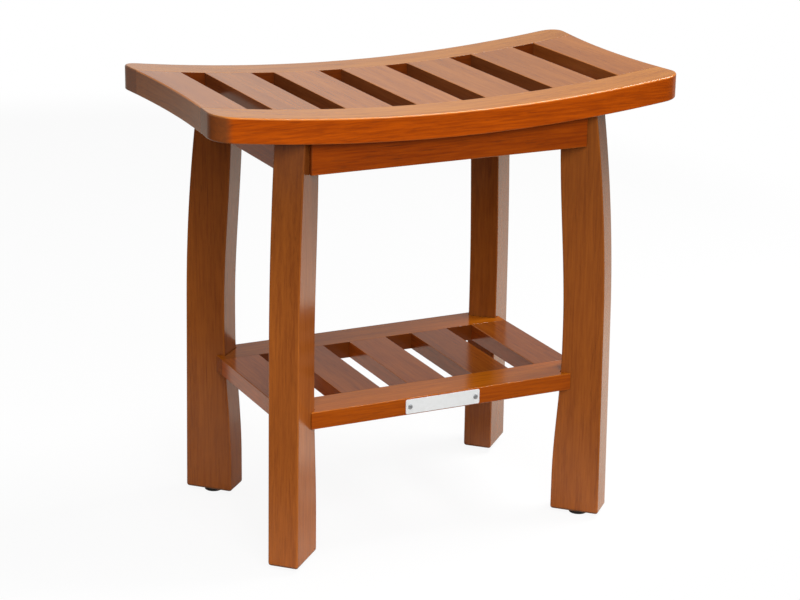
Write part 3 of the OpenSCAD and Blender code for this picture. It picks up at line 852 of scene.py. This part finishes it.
def dish(plan):
    """Bend a level seat piece to the seat's dish."""
    seat = plan.seat
    level = seat.height - seat.thickness / 2
    upper, lower = indices(lambda v: v.co.z > level), indices(lambda v: v.co.z <= level)
    for chosen, depth in ((upper, 0), (lower, seat.thickness)):
        raise_columns(chosen, lambda x: plan.dish(x, depth) - seat.height + depth)


def cross_rounding(plan, joint, slot, beyond=None, upper=0, lower=0):
    """Roundings of a board between two rails: along its slots, and of the outer edge beyond a place on X."""

    def rounding(e):
        at = middle(e)
        if abs(at.y) > joint - TINY:
            return 0 if between(e, side, side) else plan.shelf.joint_round
        is_outer = beyond is not None and abs(at.x) > beyond
        if between(e, top, side):
            return upper if is_outer else slot
        if between(e, under, side):
            return lower if is_outer else slot
        return 0

    return rounding


class BENCH_OT_seat_rails(bpy.types.Operator):
    """Model the two long rails of the seat."""

    bl_idname = "bench.seat_rails"
    bl_label = "Seat Rails"

    def execute(self, context):
        plan = Layout(context.scene.bench)
        seat = plan.seat

        def rounding(e):
            if abs(middle(e).y) < plan.inner_y + TINY:
                return 0 if between(e, side, side) else seat.seam_round
            if between(e, top, side):
                return seat.top_round
            return seat.under_round if between(e, under, side) else 0

        for board, ((where, sign), tone) in enumerate(zip(LONG_SIDES, RAIL_TONES), FIRST_BOARD["rail"]):
            near, far = sorted((sign * plan.inner_y, sign * plan.half_d))
            piece = add_block(
                f"seat_{where}_rail_board",
                (-plan.half_l, near, plan.under_z), (plan.half_l, far, seat.height),
            )
            bevel(
                lambda e: runs_along(e, 2) and abs(middle(e).y) > plan.half_d - TINY,
                seat.corner, segments=12,
            )
            for start, end in plan.slots:
                cut_columns(start, (start + end) / 2, end)
            cut_columns(*plan.slats)
            cut_columns(*(s * (plan.inner_x + x) for x in END_COLUMNS for s in SIGNS))
            cut((0, sign * (plan.half_d - seat.corner), 0), (0, 1, 0))
            hollow_ends(plan)
            dish(plan)
            round_edges(piece, rounding, segments=4)
            # The rails' inner faces, the walls of the slots, are darkened as painted shade.
            finish = timber(
                f"{where.title()} rail", "X", board, "rail", tone,
                lines=0.85, edges=0.7, shade_facing=(0, -sign, 0),
            )
            hand_over(piece, f"seat_{where}_rail", finish)
        return {"FINISHED"}


class BENCH_OT_seat_slats(bpy.types.Operator):
    """Model the seat's end rails and the slats between them."""

    bl_idname = "bench.seat_slats"
    bl_label = "Seat Slats and End Rails"

    def execute(self, context):
        plan = Layout(context.scene.bench)
        seat = plan.seat
        joint = plan.inner_y - plan.legs.gap
        outer_from = plan.inner_x + 0.02
        end_rounding = cross_rounding(
            plan, joint, seat.slot_round, outer_from, upper=seat.top_round, lower=seat.under_round
        )
        for board, ((where, sign), tone) in enumerate(zip(ENDS, END_TONES), FIRST_BOARD["end"]):
            near, far = sorted((sign * plan.inner_x, sign * plan.half_l))
            piece = add_block(
                f"seat_{where}_end_board", (near, -joint, plan.under_z), (far, joint, seat.height)
            )
            cut_columns(*(sign * (plan.inner_x + x) for x in END_COLUMNS))
            for row in range(1, END_ROWS):
                cut((0, -joint + 2 * joint * row / END_ROWS, 0), (0, 1, 0))
            hollow_ends(plan)
            dish(plan)
            round_edges(piece, end_rounding, segments=4)
            finish = timber(f"{where.title()} end", "Y", board, "end", tone, lines=0.6, edges=0.8)
            hand_over(piece, f"seat_{where}_end_rail", finish)
        for number, (x, tone) in enumerate(zip(plan.slats, SLAT_TONES), 1):
            half = seat.slat / 2
            piece = add_block(
                f"seat_slat_{number}_board", (x - half, -joint, plan.under_z), (x + half, joint, seat.height)
            )
            cut_columns(x - half / 2, x, x + half / 2)
            dish(plan)
            round_edges(piece, cross_rounding(plan, joint, seat.slot_round))
            board = FIRST_BOARD["slat"] + number - 1
            finish = timber(f"Slat {number}", "Y", board, "slat", tone, lines=0.6, edges=0.6)
            hand_over(piece, f"seat_slat_{number}", finish)
        return {"FINISHED"}


# ---------------------------------------------------------------- frame


class BENCH_OT_aprons(bpy.types.Operator):
    """Model the four aprons, cut against the legs and to the seat's underside."""

    bl_idname = "bench.aprons"
    bl_label = "Aprons"

    def execute(self, context):
        plan = Layout(context.scene.bench)
        for board, (where, sign) in enumerate(LONG_SIDES, FIRST_BOARD["long_apron"]):
            steps = [step * APRON_STEP for step in range(-4, 5)]
            self.apron(plan, where, sign, board, 1, plan.apron_y, plan.side_x, steps)
        for board, (where, sign) in enumerate(ENDS, FIRST_BOARD["side_apron"]):
            steps = [sign * (plan.apron_x - plan.legs.apron_t / 2)]
            self.apron(plan, where, sign, board, 0, plan.apron_x, plan.side_y, steps)
        return {"FINISHED"}

    @staticmethod
    def apron(plan, where, sign, board, axis, reach, leg_side, columns):
        """An apron that looks along an axis, from one leg's side to the other's."""
        legs, seat = plan.legs, plan.seat
        depth = seat.thickness + legs.gap
        top_z = seat.height - depth
        tip = reach + leg_side - legs.apron_tip
        near, far = sorted((sign * reach, sign * (reach - legs.apron_t)))

        def place(across, along_it, z=0):
            return (along_it, across, z) if axis == 1 else (across, along_it, z)

        def rounding(e):
            if between(e, top, side):
                return 0
            if middle(e)[axis] * sign > reach - TINY:
                return legs.apron_round
            return legs.apron_round / 2 if between(e, under, side) else 0

        piece = add_block(f"{where}_apron_board", place(near, -tip, plan.apron_z), place(far, tip, top_z))
        for s in SIGNS:
            cut(place(0, s * leg_side), place(-sign, s), away=True)
        cut_columns(*columns)
        upper = indices(lambda v: v.co.z > top_z - TINY)
        raise_columns(upper, lambda x: plan.dish(x, depth) - top_z)
        round_edges(piece, rounding)
        grain = "X" if axis == 1 else "Y"
        finish = timber(f"{where.title()} apron", grain, board, "apron", lines=0.8, ends=(0.35, 0.35))
        hand_over(piece, f"{where}_apron", finish)


class BENCH_OT_legs(bpy.types.Operator):
    """Model a bowed leg once, then turn a copy into each corner."""

    bl_idname = "bench.legs"
    bl_label = "Legs"

    def execute(self, context):
        plan = Layout(context.scene.bench)
        legs, seat = plan.legs, plan.seat
        foot_z, head_z = plan.foot.pad_h, seat.height + HEAD_SPARE
        blank = add_block(
            "leg_blank", (-legs.inner_foot, -legs.leg / 2, foot_z), (legs.outer_foot, legs.leg / 2, head_z)
        )
        for row in range(1, LEG_ROWS):
            cut((0, 0, foot_z + (head_z - foot_z) * row / LEG_ROWS), (0, 0, 1))
        for z in places(lambda co: co.z):
            move(lambda v: v.co.x > 0 and round(v.co.z, 6) == z, (plan.leg_outer(z) - legs.outer_foot, 0, 0))
            move(lambda v: v.co.x < 0 and round(v.co.z, 6) == z, (legs.inner_foot - plan.leg_inner(z), 0, 0))
        leave_edit()

        def rounding(e):
            if between(e, top, side):
                return 0
            return legs.leg_round if between(e, side, side) else legs.foot_round

        seat_z = plan.dish(plan.leg_x, seat.thickness + legs.gap) - HEAD_GAP
        slope = plan.leg_x / (plan.dish_r + seat.thickness)
        for number, (where, (sx, sy)) in enumerate(CORNERS.items()):
            piece = copy_of(blank, f"{where}_leg_post")
            bpy.ops.mesh.select_all(action="SELECT")
            bpy.ops.transform.rotate(
                value=turn_value(math.atan2(sy, sx)), orient_axis="Z", center_override=(0, 0, 0)
            )
            move_all((sx * plan.leg_x, sy * plan.leg_y, 0))
            cut((sx * plan.leg_x, 0, seat_z), (-sx * slope, 0, 1), away=True)
            round_edges(piece, rounding, segments=4)
            # Each leg's tone is painted light or shade, and its upper part is darkened towards its head as
            # painted shade under the seat.
            finish = timber(
                f"{where.replace('_', ' ').title()} leg", "Z", FIRST_BOARD["leg"] + number, "leg",
                LEG_LIGHT_SHADE_TONES[number], lines=0.6, bands=0.75, edges=0.6, head_shade=LEG_HEAD_SHADES[number],
            )
            hand_over(piece, f"{where}_leg", finish)
        bpy.data.objects.remove(blank)
        return {"FINISHED"}


def turn_value(angle):
    """Value for transform.rotate, which turns the other way when Blender has no window."""
    return -angle if bpy.app.background else angle


# ---------------------------------------------------------------- shelf


class BENCH_OT_shelf_rails(bpy.types.Operator):
    """Model the shelf's long rails with their ends notched round the legs."""

    bl_idname = "bench.shelf_rails"
    bl_label = "Shelf Rails"

    def execute(self, context):
        plan = Layout(context.scene.bench)
        shelf = plan.shelf
        outline = plan.shelf_end()
        corners = len(outline)
        starts = [plan.shelf_inner_y + shelf.rail * number / corners for number in range(1, corners + 1)]

        def at_end(co, sign):
            return co.x * sign > plan.shelf_x - TINY

        def rounding(e):
            at = middle(e)
            if abs(at.y) < plan.shelf_inner_y + TINY:
                return 0 if between(e, side, side) else shelf.joint_round
            outer = abs(at.y) > plan.shelf_y - TINY or abs(at.x) > plan.shelf_x - TINY
            return shelf.edge_round if outer and not between(e, side, side) else shelf.joint_round

        rails = enumerate(zip(LONG_SIDES, SHELF_RAIL_LIGHT_SHADE_TONES), FIRST_BOARD["shelf_rail"])
        for board, ((where, sign), tone) in rails:
            near, far = sorted((sign * plan.shelf_inner_y, sign * plan.shelf_y))
            piece = add_block(
                f"shelf_{where}_rail_board",
                (-plan.shelf_x, near, plan.shelf_z), (plan.shelf_x, far, shelf.height),
            )
            for s in SIGNS:
                pick("EDGE", lambda e: runs_along(e, 1) and at_end(middle(e), s))
                bpy.ops.mesh.subdivide(number_cuts=corners - 1, ngon=True)
                pairs = [indices(lambda v: at_end(v.co, s) and abs(abs(v.co.y) - y) < TINY) for y in starts]
                for pair, y, (to_x, to_y) in zip(pairs, starts, outline):
                    move(lambda v: v.index in pair, (s * (to_x - plan.shelf_x), sign * (to_y - y), 0))
            for ends in plan.shelf_slots:
                cut_columns(*ends)
            round_edges(piece, rounding)
            # The shelf's back rail is painted darker, and its inner face is darkened as painted shade.
            finish = timber(
                f"Shelf {where} rail", "X", board, "shelf_rail", tone, lines=0.7, bands=0.75,
                edges=0.28, ends=(0.25, 0.25), shade_facing=(0, -0.72, 0) if where == "back" else None,
            )
            hand_over(piece, f"shelf_{where}_rail", finish)
        return {"FINISHED"}


class BENCH_OT_shelf_slats(bpy.types.Operator):
    """Model the shelf's end rails and slats."""

    bl_idname = "bench.shelf_slats"
    bl_label = "Shelf Slats and End Rails"

    def execute(self, context):
        plan = Layout(context.scene.bench)
        shelf = plan.shelf
        joint = plan.shelf_inner_y - plan.legs.gap
        boards = [
            ("shelf_left_end_rail", -plan.shelf_x, -plan.shelf_inner_x),
            ("shelf_right_end_rail", plan.shelf_inner_x, plan.shelf_x),
        ]
        for number, x in enumerate(plan.shelf_slats, 1):
            boards.append((f"shelf_slat_{number}", x - shelf.slat / 2, x + shelf.slat / 2))
        for board, ((name, near, far), tone) in enumerate(zip(boards, SHELF_LIGHT_SHADE_TONES), FIRST_BOARD["shelf"]):
            piece = add_block(f"{name}_board", (near, -joint, plan.shelf_z), (far, joint, shelf.height))
            at = (near + far) / 2
            cut_columns(at)
            beyond = abs(at) if name.endswith("rail") else None
            rounding = cross_rounding(
                plan, joint, shelf.slot_round, beyond, upper=shelf.edge_round, lower=shelf.edge_round
            )
            round_edges(piece, rounding)
            finish = timber(
                name.replace("_", " ").capitalize(), "Y", board, "shelf", tone,
                lines=0.7, bands=0.75, edges=0.35,
            )
            hand_over(piece, name, finish)
        return {"FINISHED"}


# ---------------------------------------------------------------- feet, plate and fixings


class BENCH_OT_feet(bpy.types.Operator):
    """Model the foot pads and their threaded studs, and copy them to each leg."""

    bl_idname = "bench.feet"
    bl_label = "Feet"

    def execute(self, context):
        bench = context.scene.bench
        plan, foot, finish = Layout(bench), bench.foot, bench.finish
        top_z = foot.pad_h - plan.legs.gap
        black = worn(
            "Foot plastic", finish.rubber, (0.035, 0.034, 0.033), roughness=0.42,
            brushing=(2400, 2400, 2400), bump=0.3, amount=0.4, Specular_IOR_Level=0.4,
        )
        zinc = worn("Stud steel", finish.steel, (0.32, 0.33, 0.34), Metallic=1.0)
        for blank, made, part, slot, coat in (
            (self.pad(foot, top_z), "disc", "pad", "black_plastic", black),
            (self.thread(foot, top_z), "thread", "stud", "zinc_steel", zinc),
        ):
            for where, (sx, sy) in CORNERS.items():
                piece = copy_of(blank, f"{where}_foot_{made}")
                move_all((sx * plan.leg_x, sy * plan.leg_y, 0))
                smooth(piece)
                hand_over(piece, f"{where}_foot_{part}", coat, f"{where}_foot")
            bpy.data.objects.remove(blank)
        return {"FINISHED"}

    @staticmethod
    def pad(foot, top_z):
        """A round pad with bevelled edges and a shallow recess below."""
        radius = foot.pad_d / 2
        recess_in, recess_up, top_bevel = 0.0022, 0.0005, 0.0003

        def rim(z):
            return lambda e: abs(middle(e).z - z) < TINY and middle(e).xy.length > radius - recess_in / 2

        pad = add_disc("pad_blank", radius, 0, top_z, sides=48)
        pick("FACE", under)
        bpy.ops.mesh.inset(thickness=recess_in)
        bpy.ops.mesh.extrude_region_move(TRANSFORM_OT_translate={"value": (0, 0, recess_up)})
        bevel(rim(0), foot.pad_bevel, segments=4)
        bevel(rim(top_z), top_bevel, segments=2)
        leave_edit()
        return pad

    @staticmethod
    def thread(foot, top_z):
        """A stud with rolled thread ridges above the pad and a chamfered point."""
        root, point, in_pad = 0.82, 0.72, 0.0016
        high = foot.pad_h + foot.stud_l
        stud = add_disc("stud_blank", foot.stud_d / 2, top_z - in_pad, high, sides=24)
        ridges = [top_z + turn * foot.pitch for turn in range(int((high - top_z) / foot.pitch))]
        for z in ridges:
            cut((0, 0, z), (0, 0, 1))
            cut((0, 0, z + foot.pitch / 2), (0, 0, 1))
        for z in ridges:
            groove = z + foot.pitch / 2
            scale_about((0, 0, groove), lambda v: abs(v.co.z - groove) < TINY, (root, root, 1))
        scale_about((0, 0, high), lambda v: v.co.z > high - TINY, (point, point, 1))
        leave_edit()
        return stud


class BENCH_OT_plate(bpy.types.Operator):
    """Model the bare metal plate on the shelf and its two screws."""

    bl_idname = "bench.plate"
    bl_label = "Plate"

    def execute(self, context):
        bench = context.scene.bench
        plan, finish, shelf = Layout(bench), bench.finish, bench.shelf
        back = -plan.shelf_y - plan.legs.gap
        front = back - shelf.plate_t
        half_w, mid_z = shelf.plate_w / 2, shelf.height - shelf.thickness / 2
        rim, rim_bevel = 0.0004, 0.00025
        piece = add_block(
            "plate_sheet",
            (shelf.plate_x - half_w, front, mid_z - shelf.plate_h / 2),
            (shelf.plate_x + half_w, back, mid_z + shelf.plate_h / 2),
        )
        bevel(lambda e: runs_along(e, 1), shelf.plate_r, segments=5)
        pick("FACE", lambda f: facing(f, 1, -1))
        bpy.ops.mesh.inset(thickness=rim)
        bevel(
            lambda e: all(abs(v.co.y - front) < TINY for v in e.verts) and is_ridge(e),
            rim_bevel, segments=2,
        )
        smooth(piece)
        brushed = worn(
            "Brushed plate", finish.plate, [c * 0.9 for c in finish.plate],
            roughness=0.32, brushing=(60, 900, 2600), bump=0.15, Metallic=0.12,
        )
        hand_over(piece, "nameplate", brushed)

        heads = []
        for number, sign in enumerate(SIGNS, 1):
            head = self.screw_head(f"plate_screw_{number}", shelf.plate_head / 2, shelf.plate_head_h)
            reach = half_w - shelf.plate_screw_in
            move_all((shelf.plate_x + sign * reach, front - plan.legs.gap, mid_z))
            smooth(head)
            heads.append(head)
        select_only(*heads)
        bpy.ops.object.join()
        heads[0].name = heads[0].data.name = "plate_screw_heads"
        dulled = worn(
            "Dulled screw", finish.screw, [c * 0.55 for c in finish.screw], roughness=0.35, Metallic=0.5
        )
        hand_over(heads[0], "nameplate_screws", dulled)
        return {"FINISHED"}

    @staticmethod
    def screw_head(name, radius, height):
        """A domed head that looks along -Y, with a cross recess, left in edit mode."""
        dome, floor = height * 0.7, -height * 0.45
        long, short = radius * 0.55, radius * 0.13
        head = add_disc(name, radius, 0, height, sides=32, turn=(math.pi / 2, 0, 0))
        move_all((0, -height / 2, -height / 2))
        bevel(lambda e: all(v.co.y < TINY - height for v in e.verts), dome, segments=4)
        leave_edit()
        for x, z in ((long, short), (short, long)):
            cutter = add_block("recess_cutter", (-x, -2 * height, -z), (x, floor, z))
            leave_edit()
            select_only(head)
            recess = head.modifiers.new("Recess", "BOOLEAN")
            recess.operation = "DIFFERENCE"
            recess.solver = "EXACT"
            recess.object = cutter
            bpy.ops.object.modifier_apply(modifier=recess.name)
            bpy.data.objects.remove(cutter)
        bpy.ops.object.mode_set(mode="EDIT")
        bpy.ops.mesh.select_all(action="SELECT")
        bpy.ops.mesh.remove_doubles(threshold=1e-6)
        bpy.ops.mesh.normals_make_consistent(inside=False)
        return head


class BENCH_OT_fixings(bpy.types.Operator):
    """Finish the blocks, dowels, bolts and screws that keep their CAD shapes."""

    bl_idname = "bench.fixings"
    bl_label = "Blocks and Fixings"

    def execute(self, context):
        finish = context.scene.bench.finish
        zinc = worn("Zinc steel", finish.steel, (0.34, 0.35, 0.36), Metallic=1.0)
        brass = worn("Insert brass", finish.brass, (0.34, 0.22, 0.08), Metallic=1.0)
        dowel_wood, tree, shader, where = begin_material("Dowel wood", Specular_IOR_Level=0.3)
        turned = tree.add("ShaderNodeMapping", where["Object"], Rotation=TURNS["Y"])
        place_group(
            tree, timber_figure(), shader, bump=0.3, Vector=turned,
            Light=shaded(finish.dowel), Dark=shaded(finish.dowel, 0.7), Pore=(0.2, 0.12, 0.05, 1),
            Bands=0.4, Streaks=0.5, Pores=0.3, Polish=0.55,
        )
        for coat, names in (
            (zinc, ("hanger_bolts", "bolt_washers", "bolt_nuts", "block_screws", "seat_screws")),
            (dowel_wood, ("seat_dowels", "shelf_dowels", "leg_dowels")),
            (brass, ("foot_inserts",)),
        ):
            for name in names:
                self.paint(name, coat)
        for board, corner in enumerate(CORNERS, FIRST_BOARD["block"]):
            block = timber(f"{corner.replace('_', ' ').title()} block", "Z", board, "leg", tone=0.9)
            self.paint(f"{corner}_corner_block", block)
        return {"FINISHED"}

    @staticmethod
    def paint(name, finish):
        """Give a CAD node's slots a finish."""
        part = frame["nodes"][name]
        if not part.material_slots:
            part.data.materials.append(finish)
        for slot in part.material_slots:
            slot.material = finish


# ---------------------------------------------------------------- stage


class BENCH_OT_stage(bpy.types.Operator):
    """Set the floor, the soft lamps and the camera."""

    bl_idname = "bench.stage"
    bl_label = "Floor, Lamps and Camera"

    def execute(self, context):
        scene = context.scene
        stage = scene.bench.stage
        bpy.ops.object.select_all(action="DESELECT")
        bpy.ops.mesh.primitive_plane_add(size=14, location=(0, 0, -0.0002))
        floor = context.object
        floor.name = "studio_floor"
        bpy.ops.object.transform_apply(location=True)
        floor.data.materials.append(self.pale_floor(stage.backdrop))
        self.surroundings(scene, stage)
        self.lamp("key_lamp", (-0.42, -1.55, 1.2), wide=1.1, power=stage.key, mirrored=False)
        self.lamp("top_lamp", (1.0, -0.12, 1.78), wide=0.75, power=stage.top)
        self.camera(scene, stage)
        scene.view_settings.view_transform = "Standard"
        return {"FINISHED"}

    @staticmethod
    def pale_floor(tone):
        """White floor that keeps the bench's soft shadow, and throws a warm light back at it from a painted
        pool of light.
        """
        made = bpy.data.materials.new("Pale floor")
        tree, surface = begin_tree(made, "ShaderNodeOutputMaterial")
        where = tree.add("ShaderNodeTexCoord").outputs["Object"]
        # For the light and reflections it throws on the bench, the floor is painted warm near the bench and
        # painted dark far in front of it, a painted pool of light; the camera sees it white.
        far = tree.add("ShaderNodeVectorMath", where, (0.0, 0.9, 0), operation="DISTANCE").outputs["Value"]
        reach = tree.spread(far, 0.95, 1.25)
        behind = tree.spread(tree.along(where, (0.5, 1, 0)), -0.2, 1.4)
        warm = [c * part for c, part in zip(tone, (0.92, 0.82, 0.70))]
        dim = tree.mix(behind, shaded(warm, 0.13), shaded(warm))
        lit = tree.add("ShaderNodeBsdfDiffuse", tree.mix(reach, shaded(warm), dim))
        clean = tree.add("ShaderNodeBsdfDiffuse", shaded(tone, 0.92))
        glow = tree.add("ShaderNodeEmission", shaded(tone), 1.0)
        seen = tree.add("ShaderNodeMixShader", tree.times_plus(reach, 0.09, 0.91), clean, glow)
        rays = tree.add("ShaderNodeLightPath").outputs
        straight = tree.larger(rays["Is Camera Ray"], rays["Is Transmission Ray"])
        tree.feed(surface, tree.add("ShaderNodeMixShader", straight, lit, seen))
        return made

    @staticmethod
    def surroundings(scene, stage):
        """Soft light all round, seen as white."""
        scene.world = bpy.data.worlds.new("Studio")
        tree, surface = begin_tree(scene.world, "ShaderNodeOutputWorld")
        air = tree.add("ShaderNodeBackground", (1, 1, 1, 1), stage.ambient)
        white = tree.add("ShaderNodeBackground", shaded(stage.backdrop), 1.0)
        where = tree.add("ShaderNodeTexCoord").outputs["Generated"]
        towards = tree.add("ShaderNodeSeparateXYZ", where).outputs
        # The varnish mirrors some of the white behind the bench, and most of it low down.
        behind = tree.spread(towards["Y"], -0.1, 0.5)
        low = tree.minus(0.56, tree.times(tree.spread(towards["Z"], 0.0, 0.45), 0.45))
        rays = tree.add("ShaderNodeLightPath").outputs
        mirrored = tree.times(tree.times(rays["Is Glossy Ray"], behind), low)
        through = tree.larger(mirrored, rays["Is Transmission Ray"])
        straight = tree.larger(rays["Is Camera Ray"], through)
        tree.feed(surface, tree.add("ShaderNodeMixShader", straight, air, white))

    @staticmethod
    def lamp(name, place, wide, power, mirrored=True):
        """A soft square lamp that looks at the bench, and is mirrored in the varnish or not."""
        place = Vector(place)
        turn = (Vector(LAMP_TARGET) - place).to_track_quat("-Z", "Y").to_euler()
        bpy.ops.object.light_add(type="AREA", radius=wide, location=place, rotation=turn)
        lamp = bpy.context.object
        lamp.name = lamp.data.name = name
        lamp.data.energy = power
        lamp.data.size = wide
        lamp.visible_glossy = mirrored

    @staticmethod
    def camera(scene, stage):
        """The photograph's view, for an image of 800 by 600."""
        place = Vector(CAMERA_PLACE)
        roll = Matrix.Rotation(math.radians(CAMERA_ROLL), 3, "Z")
        turn = (Vector(CAMERA_TARGET) - place).to_track_quat("-Z", "Y").to_matrix() @ roll
        bpy.ops.object.camera_add(location=place, rotation=turn.to_euler())
        camera = bpy.context.object
        camera.name = "photo_camera"
        camera.data.sensor_fit = "HORIZONTAL"
        camera.data.sensor_width = 36
        camera.data.lens = stage.focal
        scene.camera = camera


# ---------------------------------------------------------------- panel


PIECE_OPERATORS = (
    BENCH_OT_seat_rails, BENCH_OT_seat_slats, BENCH_OT_aprons, BENCH_OT_legs, BENCH_OT_shelf_rails,
    BENCH_OT_shelf_slats, BENCH_OT_feet, BENCH_OT_plate, BENCH_OT_fixings, BENCH_OT_stage,
)


class BENCH_PT_panel(bpy.types.Panel):
    """Sizes, colours and operators of the bench."""

    bl_idname = "BENCH_PT_panel"
    bl_label = "Shower Bench"
    bl_space_type = "VIEW_3D"
    bl_region_type = "UI"
    bl_category = "Bench"

    def draw(self, context):
        layout = self.layout
        for operator in PIECE_OPERATORS:
            layout.operator(operator.bl_idname)
        bench = context.scene.bench
        for group in ("seat", "frame", "shelf", "foot", "finish", "stage"):
            box = layout.box()
            box.label(text=group.title())
            for name in getattr(bench, group).bl_rna.properties.keys():
                if name not in ("rna_type", "name"):
                    box.prop(getattr(bench, group), name)


CLASSES = (
    SeatSizes, FrameSizes, ShelfSizes, FootSizes, FinishColours, StageSettings, BenchSettings,
    *PIECE_OPERATORS, BENCH_PT_panel,
)


def register():
    for item in CLASSES:
        bpy.utils.register_class(item)
    bpy.types.Scene.bench = PointerProperty(type=BenchSettings)


def unregister():
    del bpy.types.Scene.bench
    for item in reversed(CLASSES):
        bpy.utils.unregister_class(item)


def main():
    register()
    for operator in PIECE_OPERATORS:
        group, name = operator.bl_idname.split(".")
        getattr(getattr(bpy.ops, group), name)()


if __name__ == "__main__":
    main()
